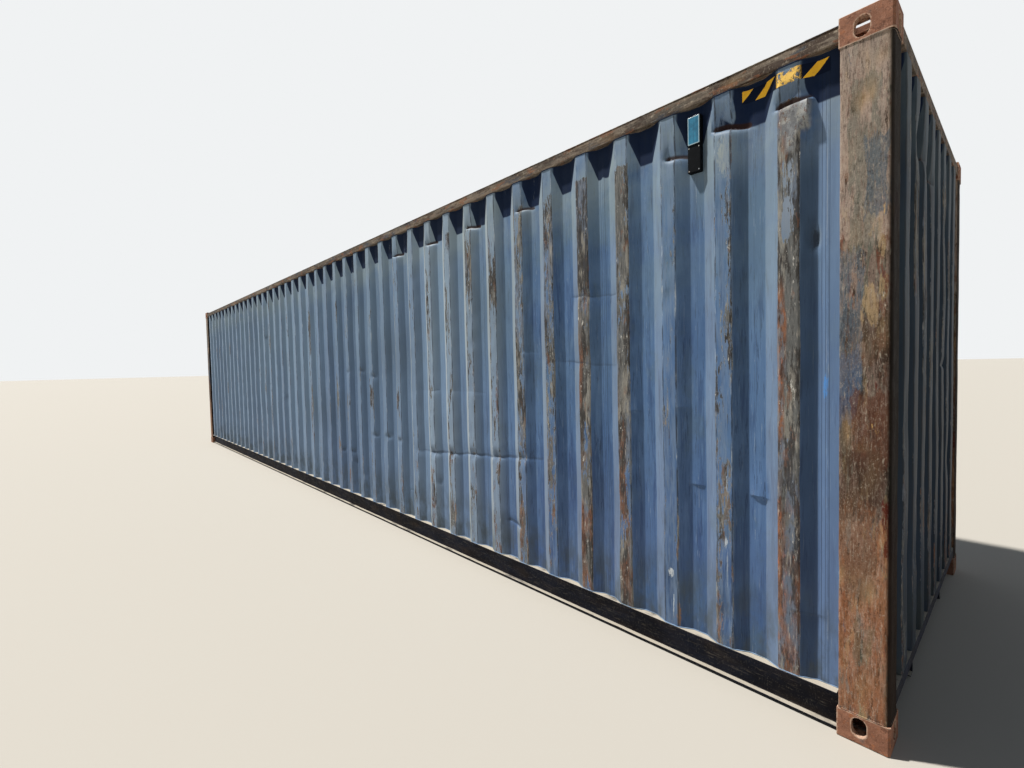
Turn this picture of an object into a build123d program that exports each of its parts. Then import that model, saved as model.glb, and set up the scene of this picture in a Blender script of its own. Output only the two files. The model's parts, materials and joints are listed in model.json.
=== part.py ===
from build123d import *
import os

# A forty-foot high-cube steel freight container, closed, as it stands on its corner castings.
# Millimetres. X runs along it, from the doors at -X to the blank front end at +X, Y runs
# across it with the right side at -Y, and Z points up. The origin is the middle of the
# footprint, level with the undersides of the bottom corner castings.

# Overall size, which the corner castings set
length = 12192.0
width = 2438.0
height = 2896.0

# Corner castings
casting_length = 178.0
casting_width = 162.0
casting_height = 118.0
casting_wall = 28.0
casting_back_wall = 12.0
casting_shelf = 10.0
casting_corner_bevel = 8.0
casting_edge_bevel = 4.0
slot_length = 124.5
slot_width = 63.5
slot_from_end = 103.5
slot_from_side = 89.5
hole_width = 51.0
hole_height = 79.5
side_hole_from_end = 101.5
end_hole_from_side = 89.0

# Corner posts, pressed from plate
post_inset = 3.0
post_side_face = 171.0
post_end_face = 139.0
post_plate = 6.0
post_bend_radius = 20.0
door_post_face = 46.0

# Side walls: corrugated sheet with upright ridges
wall_inset = 6.0
wall_sheet = 1.6
wall_depth = 36.0
wall_ridge = 72.0
wall_slope = 68.0
wall_valley = 71.8

# Front wall: the same, with narrower slopes and deeper folds
front_sheet = 2.0
front_depth = 45.6
front_ridge = 110.0
front_slope = 18.0
front_valley = 104.0

# Square tubes of the top side rails, the front top rail and the front sill
rail_tube = 60.0
rail_tube_wall = 3.0
rail_drop = 30.0
front_sill_level = 135.0
header_plate = 3.0

# Bottom side rails: channels open to the outside
bottom_rail_level = 15.0
bottom_rail_height = 160.0
bottom_rail_inset = 2.0
bottom_rail_top_flange = 48.0
bottom_rail_foot_flange = 30.0
bottom_rail_plate = 4.5

# Roof: one sheet with stamped ridges across it
roof_sheet = 2.0
roof_ridge_rise = 18.0
roof_ridge_base = 118.0
roof_ridge_pitch = 209.0
roof_ridge_taper = 34.0
roof_end_margin = 130.0
roof_side_margin = 116.0
corner_plate_length = 120.0
corner_plate_width = 300.0
corner_plate = 3.0

# Floor and what carries it
floor_board = 28.0
floor_clearance = 4.0
beam_level = 17.0
beam_height = 122.0
beam_flange = 45.0
beam_plate = 4.0
beam_pitch = 300.0

# Gooseneck tunnel, open below and to the front
tunnel_width = 1029.0
tunnel_length = 3315.0
tunnel_setback = 24.0
tunnel_plate = 4.0
tunnel_foot = 50.0
bow_height = 33.0
bow_width = 80.0
bow_pitch = 275.0

# Door end: header, sill and two leaves
door_setback = 48.0
header_height = 121.0
header_depth = 90.0
header_wall = 4.0
sill_height = 145.0
sill_depth = 90.0
sill_wall = 4.5
leaf_depth = 50.0
leaf_stile = 100.0
leaf_rail = 150.0
leaf_plate = 3.0
gasket_width = 14.0
gasket_depth = 26.0
meeting_gap = 8.0
gasket_fit = 0.15
door_sheet = 2.0
door_ridge = 270.0
door_slope = 34.0
door_valley = 72.0

# Locking gear: four upright rods with cams, keepers, guides and handles
rod_diameter = 34.0
rod_standoff = 9.0
rod_inner = 265.0
rod_outer = 850.0
rod_overrun = 60.0
cam_width = 70.0
cam_height = 16.0
cam_tip = 1.0
keeper_width = 110.0
keeper_plate = 8.0
keeper_lug = 10.0
keeper_fit = 2.0
guide_width = 64.0
guide_height = 50.0
guide_cap = 3.5
guide_fit = 0.2
guide_from_edge = 75.0
handle_length = 500.0
handle_height = 30.0
handle_thickness = 12.0
handle_spread = 60.0
hub_diameter = 48.0
hub_height = 56.0
catch_width = 50.0
catch_lip = 8.0
catch_fit = 1.0

# Hinges
hinge_count = 4
hinge_from_edge = 230.0
hinge_height = 110.0
hinge_leaf = 110.0
hinge_plate = 8.0
hinge_barrel = 22.0
hinge_pin = 16.0
hinge_pin_fit = 0.15
hinge_lug = 10.0
hinge_gap = 2.0

# Tracking unit in a recess near the front of the right side
tracker_recess = 1
tracker_width = 66.0
tracker_depth = 30.0
tracker_height = 270.0
tracker_drop = 46.0
tracker_radius = 4.0
panel_height = 132.0
panel_border = 4.0
panel_thickness = 4.0

# Round bars and lashing holes repeat many times, so each is drawn with this many flats
flat_count = 12

# Levels and planes that several pieces share
half_length = length / 2
half_width = width / 2
cut_overrun = 1.0
casting_x = half_length - casting_length
casting_y = half_width - casting_width
post_x = half_length - post_inset
post_y = half_width - post_inset
side_end = post_x - post_side_face
front_end = post_y - post_end_face
door_end = post_y - door_post_face
side_crest = half_width - wall_inset
side_trough = side_crest - wall_depth
front_crest = half_length - wall_inset
front_trough = front_crest - front_depth
rail_top = height - rail_drop
rail_bottom = rail_top - rail_tube
front_sill_top = front_sill_level + rail_tube
bottom_rail_top = bottom_rail_level + bottom_rail_height
bottom_rail_y = half_width - bottom_rail_inset
bottom_web_y = bottom_rail_y - bottom_rail_top_flange
beam_top = beam_level + beam_height
floor_top = beam_top + floor_board
tunnel_front = half_length - tunnel_setback
tunnel_rear = tunnel_front - tunnel_length
tunnel_outside = tunnel_width / 2 + tunnel_plate
door_face = -(half_length - door_setback)
header_bottom = rail_top - header_height
sill_top = bottom_rail_level + sill_height
leaf_bottom = sill_top + gasket_width
leaf_top = header_bottom - gasket_width
leaf_near = meeting_gap / 2
leaf_far = door_end - gasket_width
leaf_middle = (leaf_bottom + leaf_top) / 2
leaf_rib_pitch = door_ridge + 2 * door_slope + door_valley
handle_level = leaf_middle - leaf_rib_pitch
rod_x = door_face - rod_standoff - rod_diameter / 2


def block(x0, x1, y0, y1, z0, z1):
    """A box between two opposite corners."""
    centre = ((x0 + x1) / 2, (y0 + y1) / 2, (z0 + z1) / 2)
    return Pos(*centre) * Box(abs(x1 - x0), abs(y1 - y0), abs(z1 - z0))


def along_x(face, x0, x1):
    """A (Y, Z) section carried from x0 to x1."""
    return extrude(Plane.YZ.offset(x0) * face, x1 - x0)


def along_y(face, y0, y1):
    """An (X, Z) section carried from y0 to y1."""
    return extrude(Plane.XZ.offset(-y0) * face, -(y1 - y0))


def along_z(face, z0, z1):
    """An (X, Y) section carried from z0 to z1."""
    return extrude(Plane.XY.offset(z0) * face, z1 - z0)


def disc(diameter):
    """A disc with a corner on each axis, so that a straight side can run on from it."""
    return RegularPolygon(diameter / 2, flat_count)


def upright(x, y, diameter, z0, z1):
    """A round bar on an upright axis."""
    return along_z(Pos(x, y) * disc(diameter), z0, z1)


def slot_face(long, wide):
    """A slot along X: straight sides and round ends."""
    reach = (long - wide) / 2
    return Rectangle(2 * reach, wide) + Pos(reach, 0) * disc(wide) + Pos(-reach, 0) * disc(wide)


def fold(path, thickness):
    """The section of a sheet folded along a path: the path itself, and the same path set
    over to its left by the thickness, with mitred corners."""
    points = [Vector(*point) for point in path]
    headings = [(b - a).normalized() for a, b in zip(points, points[1:])]
    normals = [Vector(-h.Y, h.X) for h in headings]
    before = normals[:1] + normals
    after = normals + normals[-1:]
    far_side = [
        point + (a + b) * (thickness / (1 + a.dot(b)))
        for point, a, b in zip(points, before, after)
    ]
    return make_face(Polyline(*points, *reversed(far_side), close=True))


def tube(a0, a1, b0, b1, wall):
    """The section of a rectangular tube between two corners."""
    outside = Rectangle(a1 - a0, b1 - b0)
    inside = Rectangle(a1 - a0 - 2 * wall, b1 - b0 - 2 * wall)
    return Pos((a0 + a1) / 2, (b0 + b1) / 2) * (outside - inside)


def corrugation(reach, ridge, slope, valley, crest, trough):
    """Points (place, level) of a corrugated sheet from -reach to reach, with as many whole
    ridges as fit, centred, and a flat at each end."""
    pitch = ridge + 2 * slope + valley
    count = int((2 * reach - valley) // pitch)
    path = [(-reach, trough)]
    for i in range(count):
        centre = (i - (count - 1) / 2) * pitch
        path.append((centre - ridge / 2 - slope, trough))
        path.append((centre - ridge / 2, crest))
        path.append((centre + ridge / 2, crest))
        path.append((centre + ridge / 2 + slope, trough))
    path.append((reach, trough))
    return path


def to_right(part):
    """The same piece on the right side."""
    return mirror(part, about=Plane.XZ)


def to_door_end(part):
    """The same piece at the door end."""
    return mirror(part, about=Plane.YZ)


def to_bottom(part):
    """The same piece at the bottom."""
    return mirror(part, about=Plane.XY.offset(height / 2))


def casting_blocks():
    """The outer blocks of the eight corner castings, to keep other pieces clear of them."""
    top = block(casting_x, half_length, casting_y, half_width, height - casting_height, height)
    front = [top, to_bottom(top)]
    left = front + [to_door_end(part) for part in front]
    return left + [to_right(part) for part in left]


def corner_casting():
    """The casting at the front, left and top: a hollow block with an aperture in each of its
    three outer faces, all open to the one cavity."""
    bottom = height - casting_height
    body = block(casting_x, half_length, casting_y, half_width, bottom, height)
    upright_edge = body.edges().filter_by(Axis.Z).sort_by_distance((half_length, half_width, height))[0]
    body = chamfer(upright_edge, min(casting_corner_bevel, casting_wall / 2))
    top_edges = body.faces().sort_by(Axis.Z)[-1].edges()
    outer_edges = [
        edge for edge in top_edges
        if edge.center().X > casting_x + cut_overrun and edge.center().Y > casting_y + cut_overrun
    ]
    body = chamfer(outer_edges, min(casting_edge_bevel, casting_wall / 4))
    cavity = block(
        casting_x + casting_back_wall,
        half_length - casting_wall,
        casting_y + casting_back_wall,
        half_width - casting_wall,
        bottom + casting_shelf,
        height - casting_wall,
    )
    reach = casting_wall + cut_overrun
    hole_z = height - casting_wall - hole_height / 2
    slot_at = Pos(half_length - slot_from_end, half_width - slot_from_side, height)
    side_at = Pos(half_length - side_hole_from_end, half_width, hole_z)
    end_at = Pos(half_length, half_width - end_hole_from_side, hole_z)
    slot = slot_at * extrude(SlotOverall(slot_length, slot_width), reach, both=True)
    hole = Rot(0, 0, 90) * slot_face(hole_height, hole_width)
    side_hole = side_at * extrude(Plane.XZ * hole, reach, both=True)
    end_hole = end_at * extrude(Plane.YZ * hole, reach, both=True)
    return body - cavity - slot - side_hole - end_hole


def front_post():
    """Front left post: plate bent round the corner, with a lip for each wall to butt on."""
    path = [
        (side_end, side_trough - wall_sheet),
        (side_end, post_y),
        (post_x, post_y),
        (post_x, front_end),
        (front_trough - front_sheet, front_end),
    ]
    section = fold(path, -post_plate)
    outer = section.vertices().sort_by_distance((post_x, post_y, 0))[0]
    section = fillet(outer, post_bend_radius)
    inner = section.vertices().sort_by_distance((post_x - post_plate, post_y - post_plate, 0))[0]
    section = fillet(inner, max(post_bend_radius - post_plate, post_plate / 2))
    return along_z(section, casting_height, height - casting_height)


def door_post():
    """Door-end left post: a closed section beside the door opening."""
    section = tube(-post_x, -side_end, door_end, post_y, post_plate)
    corner = section.vertices().sort_by_distance((-post_x, post_y, 0))[0]
    section = fillet(corner, min(post_bend_radius, door_post_face / 3))
    return along_z(section, casting_height, height - casting_height)


def top_side_rail():
    """Left top rail between its two castings."""
    section = tube(post_y - rail_tube, post_y, rail_bottom, rail_top, rail_tube_wall)
    return along_x(section, -casting_x, casting_x)


def bottom_side_rail():
    """Left bottom rail: its wide flange carries the wall, its web takes the beams' ends."""
    path = [
        (bottom_web_y + bottom_rail_foot_flange, bottom_rail_level),
        (bottom_web_y, bottom_rail_level),
        (bottom_web_y, bottom_rail_top),
        (bottom_rail_y, bottom_rail_top),
    ]
    return along_x(fold(path, -bottom_rail_plate), -casting_x, casting_x)


def side_wall(clear):
    """Left wall: corrugated sheet between the posts and between the rails."""
    path = corrugation(side_end, wall_ridge, wall_slope, wall_valley, side_crest, side_trough)
    return along_z(fold(path, -wall_sheet), bottom_rail_top, rail_bottom) - clear


def front_wall(clear):
    """Front wall: corrugated sheet between the front posts, sill and top rail."""
    path = corrugation(
        front_end, front_ridge, front_slope, front_valley, front_crest, front_trough
    )
    section = fold([(x, y) for y, x in path], front_sheet)
    return along_z(section, front_sill_top, rail_bottom) - clear


def front_top_rail():
    """Front top rail, with the plate that fills the space between the top castings."""
    section = tube(front_crest - rail_tube, front_crest, rail_bottom, rail_top, rail_tube_wall)
    rail = along_y(section, -casting_y, casting_y)
    plate = block(casting_x, front_crest, -casting_y, casting_y, rail_top, rail_top + header_plate)
    return rail + plate


def front_sill():
    """Front sill: a tube between the posts, over the mouth of the tunnel."""
    section = tube(
        front_crest - rail_tube, front_crest, front_sill_level, front_sill_top, rail_tube_wall
    )
    return along_y(section, -front_end, front_end)


def door_header(clear):
    """Door header: a closed section between the posts, with a plate back to the roof."""
    back = door_face + header_depth
    section = tube(door_face, back, header_bottom, rail_top, header_wall)
    beam = along_y(section, -door_end, door_end) - clear
    plate = block(door_face, -casting_x, -casting_y, casting_y, rail_top, rail_top + header_plate)
    return beam + plate


def door_sill(clear):
    """Door sill: a channel open to the inside, which steps over the bottom castings."""
    back = door_face + sill_depth
    path = [
        (back, bottom_rail_level),
        (door_face, bottom_rail_level),
        (door_face, sill_top),
        (back, sill_top),
    ]
    return along_y(fold(path, -sill_wall), -door_end, door_end) - clear


def roof():
    """Roof sheet: stamped ridges across it, with flat margins on the rails."""
    reach = casting_x - roof_end_margin
    ridge_length = 2 * (post_y - roof_side_margin)
    count = int((2 * reach - roof_ridge_base) // roof_ridge_pitch) + 1
    places = [(i - (count - 1) / 2) * roof_ridge_pitch for i in range(count)]
    ridge = extrude(
        Rectangle(roof_ridge_base, ridge_length), roof_ridge_rise, taper=roof_ridge_taper
    )
    sheet = block(-casting_x, casting_x, -post_y, post_y, rail_top, rail_top + roof_sheet)
    ridges = [Pos(x, 0, rail_top + roof_sheet) * ridge for x in places]
    hollows = [Pos(x, 0, rail_top) * ridge for x in places]
    return sheet + ridges - hollows


def roof_corner_plates():
    """A doubling plate on the roof beside each top casting."""
    level = rail_top + roof_sheet
    plate = block(
        casting_x - corner_plate_length,
        casting_x,
        post_y - corner_plate_width,
        post_y,
        level,
        level + corner_plate,
    )
    front = [plate, to_right(plate)]
    return front + [to_door_end(part) for part in front]


def tunnel_space(x0, x1, z1):
    """The block that the tunnel takes out of the floor."""
    return block(x0, x1, -tunnel_outside, tunnel_outside, 0, z1)


def floor():
    """Boards on the beams, full width behind the tunnel and in two strips beside it."""
    reach = bottom_web_y - floor_clearance
    back = door_face + sill_depth + floor_clearance
    front = front_crest - rail_tube - floor_clearance
    boards = block(back, front, -reach, reach, beam_top, floor_top)
    return boards - tunnel_space(tunnel_rear, front + cut_overrun, floor_top + cut_overrun)


def beam_section(front_x):
    """(X, Z) section of a floor beam: a channel whose web faces the front."""
    path = [
        (front_x - beam_flange, beam_level),
        (front_x, beam_level),
        (front_x, beam_top),
        (front_x - beam_flange, beam_top),
    ]
    return fold(path, beam_plate)


def cross_members():
    """Floor beams from rail to rail, from the tunnel's end back to the door sill."""
    room = tunnel_rear - (door_face + sill_depth) - beam_flange
    count = int(room // beam_pitch) + 1
    return [
        along_y(beam_section(tunnel_rear - i * beam_pitch), -bottom_web_y, bottom_web_y)
        for i in range(count)
    ]


def outriggers():
    """Short floor beams on the left, from the rail to the tunnel's side."""
    room = front_crest - rail_tube - tunnel_rear
    count = int(room // beam_pitch)
    return [
        along_y(beam_section(tunnel_rear + i * beam_pitch), tunnel_outside, bottom_web_y)
        for i in range(1, count + 1)
    ]


def gooseneck_tunnel():
    """Tunnel: plate folded into an upside-down trough with a foot along each side. Its sides
    run on under the front sill, where its top stops."""
    half = tunnel_outside
    path = [
        (-half - tunnel_foot, beam_level),
        (-half, beam_level),
        (-half, floor_top),
        (half, floor_top),
        (half, beam_level),
        (half + tunnel_foot, beam_level),
    ]
    folded = along_x(fold(path, -tunnel_plate), tunnel_rear, tunnel_front)
    sill_back = front_crest - rail_tube
    over_sill = block(
        sill_back, tunnel_front + cut_overrun, -half, half, front_sill_level, floor_top + cut_overrun
    )
    return folded - over_sill


def tunnel_bows():
    """Shallow troughs under the tunnel's top plate, between its sides."""
    top = floor_top - tunnel_plate
    half = tunnel_width / 2
    room = front_crest - rail_tube - tunnel_rear - bow_width
    count = int(room // bow_pitch)
    bows = []
    for i in range(count):
        x = tunnel_rear + bow_pitch * (i + 0.5)
        path = [
            (x, top),
            (x, top - bow_height),
            (x + bow_width, top - bow_height),
            (x + bow_width, top),
        ]
        bows.append(along_y(fold(path, beam_plate), -half, half))
    return bows


def leaf_frame():
    """Frame of the left door leaf: stiles and rails pressed open to the inside."""
    back = door_face + leaf_depth
    t = leaf_plate
    near, far = leaf_near, leaf_far
    low, high = leaf_bottom, leaf_top
    window = (near + leaf_stile, far - leaf_stile, low + leaf_rail, high - leaf_rail)
    y0, y1, z0, z1 = window
    body = block(door_face, back, near, far, low, high)
    body -= block(door_face - cut_overrun, back + cut_overrun, y0, y1, z0, z1)
    hollow = block(door_face + t, back + cut_overrun, near + t, far - t, low + t, high - t)
    hollow -= block(door_face, back + 2 * cut_overrun, y0 - t, y1 + t, z0 - t, z1 + t)
    return body - hollow


def leaf_panel():
    """Sheet of the left door leaf, with level ridges flush with the frame."""
    reach = (leaf_top - leaf_bottom) / 2 - leaf_rail
    trough = door_face + wall_depth
    path = corrugation(reach, door_ridge, door_slope, door_valley, door_face, trough)
    section = fold([(x, leaf_middle + z) for z, x in path], -door_sheet)
    return along_y(section, leaf_near + leaf_stile, leaf_far - leaf_stile)


def leaf_gasket():
    """Rubber seal round the left leaf, filling the gap to the opening."""
    x1 = door_face + leaf_depth
    x0 = x1 - gasket_depth
    fit = gasket_fit
    outside = block(x0, x1, fit, door_end - fit, sill_top + fit, header_bottom - fit)
    inside = block(
        x0 - cut_overrun, x1 + cut_overrun, leaf_near, leaf_far, leaf_bottom, leaf_top
    )
    return outside - inside


def rod_ends():
    """Levels of the middle of a rod's lower and upper cam."""
    return sill_top - rod_overrun, header_bottom + rod_overrun


def lock_rod(y):
    """A locking rod with a flat cam at each end that reaches back to the keeper."""
    low, high = rod_ends()
    rod = upright(rod_x, y, rod_diameter, low - cam_height, high + cam_height)
    for level in (low, high):
        z0 = level - cam_height / 2
        rod += block(
            rod_x, door_face - keeper_plate - cam_tip, y - cam_width / 2, y + cam_width / 2,
            z0, z0 + cam_height,
        )
    return rod


def keeper(y, level):
    """A keeper on the header or sill: a plate with a lug at each side of the cam."""
    half = keeper_width / 2
    reach = cam_width / 2 + keeper_fit
    tall = cam_height / 2 + keeper_lug
    plate = block(door_face - keeper_plate, door_face, y - half, y + half, level - tall, level + tall)
    lug_x = rod_x
    left = block(lug_x, door_face, y + reach, y + half, level - tall, level + tall)
    right = block(lug_x, door_face, y - half, y - reach, level - tall, level + tall)
    return plate + left + right


def rod_guide(y, level):
    """A bearing bracket: a yoke that holds a rod to the leaf, open to the leaf behind it."""
    half = guide_width / 2
    outer = rod_x - rod_diameter / 2 - guide_cap
    z0 = level - guide_height / 2
    z1 = level + guide_height / 2
    room = rod_diameter / 2 + guide_fit
    low, high = z0 - cut_overrun, z1 + cut_overrun
    body = block(outer, door_face, y - half, y + half, z0, z1)
    body -= upright(rod_x, y, 2 * room, low, high)
    return body - block(rod_x, door_face + cut_overrun, y - room, y + room, low, high)


def handle_face():
    """X of the outer face of the handles, level with the front of the rods."""
    return rod_x - rod_diameter / 2


def lock_handle(y, direction, level):
    """A flat bar from a hub round the rod, lying along the leaf."""
    face = handle_face()
    hub = upright(rod_x, y, hub_diameter, level - hub_height / 2, level + hub_height / 2)
    hub -= block(
        rod_x - hub_diameter, face, y - hub_diameter, y + hub_diameter,
        level - hub_height, level + hub_height,
    )
    hub -= block(
        door_face, door_face + hub_diameter, y - hub_diameter, y + hub_diameter,
        level - hub_height, level + hub_height,
    )
    bar = block(
        face, face + handle_thickness, y, y + direction * handle_length,
        level - handle_height / 2, level + handle_height / 2,
    )
    bore = upright(
        rod_x, y, rod_diameter + 2 * guide_fit,
        level - hub_height / 2 - cut_overrun, level + hub_height / 2 + cut_overrun,
    )
    return hub + bar - bore


def handle_catch(y, level):
    """A bracket on the leaf that the handle's end drops into."""
    face = handle_face()
    half = handle_height / 2 + catch_fit
    y0, y1 = y - catch_width / 2, y + catch_width / 2
    body = block(face, door_face, y0, y1, level - half - catch_lip, level + half + catch_lip)
    seat = block(
        face - cut_overrun, face + handle_thickness + catch_fit, y0 - cut_overrun, y1 + cut_overrun,
        level - half, level + half,
    )
    return body - seat


def hinge_levels():
    """Heights of the middles of the hinges on a leaf."""
    low = leaf_bottom + hinge_from_edge
    high = leaf_top - hinge_from_edge
    return [low + (high - low) * i / (hinge_count - 1) for i in range(hinge_count)]


def hinge_axis():
    """(X, Y) of the left hinge pins, in the angle between the leaf and the post."""
    x = door_face - hinge_plate - hinge_barrel / 2 + hinge_gap
    y = door_end - hinge_gap - hinge_barrel / 2
    return x, y


def hinge_blade(level):
    """The leaf's half of a hinge: a flat strap that ends in a barrel round the pin."""
    x, y = hinge_axis()
    z0 = level - hinge_height / 2
    z1 = level + hinge_height / 2
    strap = block(door_face - hinge_plate, door_face, y - hinge_leaf, leaf_far, z0, z1)
    barrel = upright(x, y, hinge_barrel, z0, z1)
    arm = block(x, door_face - hinge_plate / 2, y - hinge_barrel / 2, y, z0, z1)
    bore = upright(x, y, hinge_pin + 2 * hinge_pin_fit, z0 - cut_overrun, z1 + cut_overrun)
    return strap + barrel + arm - bore


def hinge_lugs(level):
    """The post's half of a hinge: an eye over and under the barrel, and the pin welded into
    both, on which the barrel turns."""
    x, y = hinge_axis()
    half = hinge_height / 2 + hinge_gap
    lugs = upright(x, y, hinge_pin, level - half, level + half)
    for z0, z1 in ((level - half - hinge_lug, level - half), (level + half, level + half + hinge_lug)):
        lugs += upright(x, y, hinge_barrel, z0, z1)
        lugs += block(x - hinge_barrel / 2, x + hinge_barrel / 2, y, door_end, z0, z1)
    return lugs


def tracker_place():
    """(X, Z) of the tracking unit's middle and top: a valley back from the front end."""
    pitch = wall_ridge + 2 * wall_slope + wall_valley
    count = int((2 * side_end - wall_valley) // pitch)
    last_valley = (count / 2 - 1) * pitch
    return last_valley - tracker_recess * pitch, rail_bottom - tracker_drop


def tracker_housing():
    """Housing of the tracking unit, standing on the flat of a valley."""
    x, top = tracker_place()
    body = block(
        x - tracker_width / 2, x + tracker_width / 2,
        -side_trough - tracker_depth, -side_trough, top - tracker_height, top,
    )
    return fillet(body.edges().filter_by(Axis.Z), min(tracker_radius, tracker_depth / 3))


def tracker_panel():
    """Solar panel on the upper half of the housing."""
    x, top = tracker_place()
    half = tracker_width / 2 - panel_border
    y = -side_trough - tracker_depth
    return block(
        x - half, x + half, y - panel_thickness, y,
        top - panel_border - panel_height, top - panel_border,
    )


def both_leaves(parts):
    """The left leaf's pieces, and the same on the right leaf."""
    return parts + [to_right(part) for part in parts]


def build():
    """Every named piece of the container."""
    clear = casting_blocks()
    pieces = {}

    casting = corner_casting()
    for end, to_end in (("front", lambda p: p), ("door", to_door_end)):
        for side, to_side in (("left", lambda p: p), ("right", to_right)):
            for level, to_level in (("top", lambda p: p), ("bottom", to_bottom)):
                name = f"casting_{end}_{side}_{level}"
                pieces[name] = to_level(to_side(to_end(casting)))

    pairs = {
        "front_post": front_post(),
        "door_post": door_post(),
        "top_rail": top_side_rail(),
        "bottom_rail": bottom_side_rail(),
        "side_wall": side_wall(clear),
        "door_frame": leaf_frame(),
        "door_panel": leaf_panel(),
    }
    for name, part in pairs.items():
        pieces[f"{name}_left"] = part
        pieces[f"{name}_right"] = to_right(part)

    pieces["front_wall"] = front_wall(clear)
    pieces["front_top_rail"] = front_top_rail()
    pieces["front_sill"] = front_sill()
    pieces["door_header"] = door_header(clear)
    pieces["door_sill"] = door_sill(clear)
    pieces["roof"] = roof()
    pieces["roof_corner_plates"] = roof_corner_plates()
    pieces["floor"] = floor()
    pieces["cross_members"] = cross_members()
    pieces["outriggers"] = both_leaves(outriggers())
    pieces["gooseneck_tunnel"] = gooseneck_tunnel()
    pieces["tunnel_bows"] = tunnel_bows()

    low, high = rod_ends()
    rods = (rod_inner, rod_outer)
    guide_levels = (
        leaf_bottom + guide_from_edge,
        leaf_middle - 2 * leaf_rib_pitch,
        leaf_middle + leaf_rib_pitch,
        leaf_top - guide_from_edge,
    )
    upper = handle_level + handle_spread
    lower = handle_level - handle_spread
    catch_in = handle_length - catch_width
    pieces["lock_rods"] = both_leaves([lock_rod(y) for y in rods])
    pieces["cam_keepers"] = both_leaves([keeper(y, z) for y in rods for z in (low, high)])
    pieces["rod_guides"] = both_leaves([rod_guide(y, z) for y in rods for z in guide_levels])
    pieces["lock_handles"] = both_leaves(
        [lock_handle(rod_inner, 1, upper), lock_handle(rod_outer, -1, lower)]
    )
    pieces["handle_catches"] = both_leaves(
        [handle_catch(rod_inner + catch_in, upper), handle_catch(rod_outer - catch_in, lower)]
    )
    pieces["door_gaskets"] = both_leaves([leaf_gasket()])
    levels = hinge_levels()
    pieces["hinge_blades"] = both_leaves([hinge_blade(z) for z in levels])
    pieces["hinge_lugs"] = both_leaves([hinge_lugs(z) for z in levels])

    pieces["tracker_housing"] = tracker_housing()
    pieces["tracker_panel"] = tracker_panel()
    return pieces


def save(pieces):
    """One STEP file for each named piece."""
    os.makedirs("parts", exist_ok=True)
    for name, part in pieces.items():
        solids = part if isinstance(part, list) else [part]
        shape = solids[0] if len(solids) == 1 else Compound(children=solids)
        shape.label = name
        export_step(shape, f"parts/{name}.step")


save(build())
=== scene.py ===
# %% [markdown]
# # Dressing a weathered freight container
#
# The frame that this lesson loads is a forty-foot high-cube steel container at its real size.
# Every casting, post, rail and sheet is there as a plain solid. What it lacks is its years in
# ports. Here each sheet is pressed again with soft bends, dents and creases, each edge is
# rounded, and each surface gets the paint, rust and dust of the real one. Sizes are written in
# millimetres and multiplied by MM, because Blender works in metres.

# %% Load the frame
import json
import math

import bmesh
import bpy
import numpy as np
from mathutils import Matrix, Vector


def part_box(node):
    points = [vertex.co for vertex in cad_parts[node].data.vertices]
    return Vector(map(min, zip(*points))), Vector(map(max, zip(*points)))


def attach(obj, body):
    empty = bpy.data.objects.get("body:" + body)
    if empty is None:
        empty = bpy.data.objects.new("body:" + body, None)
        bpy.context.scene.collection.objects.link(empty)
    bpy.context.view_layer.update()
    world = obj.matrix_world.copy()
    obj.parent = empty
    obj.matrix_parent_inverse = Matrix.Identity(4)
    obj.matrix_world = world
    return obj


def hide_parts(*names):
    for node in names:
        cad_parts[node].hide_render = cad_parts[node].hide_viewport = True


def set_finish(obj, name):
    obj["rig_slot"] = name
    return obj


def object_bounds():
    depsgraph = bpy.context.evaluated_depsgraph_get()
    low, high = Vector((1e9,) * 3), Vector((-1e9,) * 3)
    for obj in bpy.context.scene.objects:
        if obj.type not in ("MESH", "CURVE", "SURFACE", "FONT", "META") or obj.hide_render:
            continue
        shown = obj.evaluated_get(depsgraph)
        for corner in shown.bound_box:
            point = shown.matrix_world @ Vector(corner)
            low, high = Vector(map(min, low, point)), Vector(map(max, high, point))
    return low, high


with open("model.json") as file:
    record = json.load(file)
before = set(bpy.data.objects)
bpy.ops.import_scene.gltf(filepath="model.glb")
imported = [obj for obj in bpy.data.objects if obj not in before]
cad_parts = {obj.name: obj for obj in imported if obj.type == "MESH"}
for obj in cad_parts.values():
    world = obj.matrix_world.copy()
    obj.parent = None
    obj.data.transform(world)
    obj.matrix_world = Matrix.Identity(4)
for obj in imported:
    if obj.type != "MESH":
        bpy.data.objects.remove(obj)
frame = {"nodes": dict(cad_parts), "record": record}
nodes = frame["nodes"]
cad_low, cad_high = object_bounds()
MM = 0.001
print(len(nodes), "solids, size", [round(side, 3) for side in cad_high - cad_low])

# %% [markdown]
# ## Colours
#
# Paint makers and photographs give colours as sRGB hex values, but a renderer adds light in
# linear numbers. One function turns the first into the second, so that every colour in this
# lesson can be read as people write it.


# %% Hex colours
def hex_colour(code):
    """A linear colour from an sRGB hex value, each channel through the sRGB curve."""
    channels = np.array([int(code[i:i + 2], 16) for i in (1, 3, 5)]) / 255
    curved = ((channels + 0.055) / 1.055) ** 2.4
    return (*np.where(channels <= 0.04045, channels / 12.92, curved).tolist(), 1.0)


print("faded blue is", [round(c, 3) for c in hex_colour("#5E7390")])

# %% [markdown]
# ## Camera
#
# The photograph was taken at standing height, close to the front right corner, with a wide
# lens. Its place and turn were fitted to the castings, posts and ridges. A camera's matrix has
# its right, its up and its back as columns, so the three are worked out from the two angles of
# the line of sight and then turned by the small roll.

# %% Camera at the photograph's angle
CAMERA_PLACE = Vector((6446, -3495, 1559)) * MM
CAMERA_AZIMUTH = math.radians(-47.32)
CAMERA_TILT = math.radians(-2.14)
CAMERA_ROLL = math.radians(-1.29)
FOCAL_PIXELS = 478.2
IMAGE_WIDTH = 1024
SENSOR = 36.0


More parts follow.
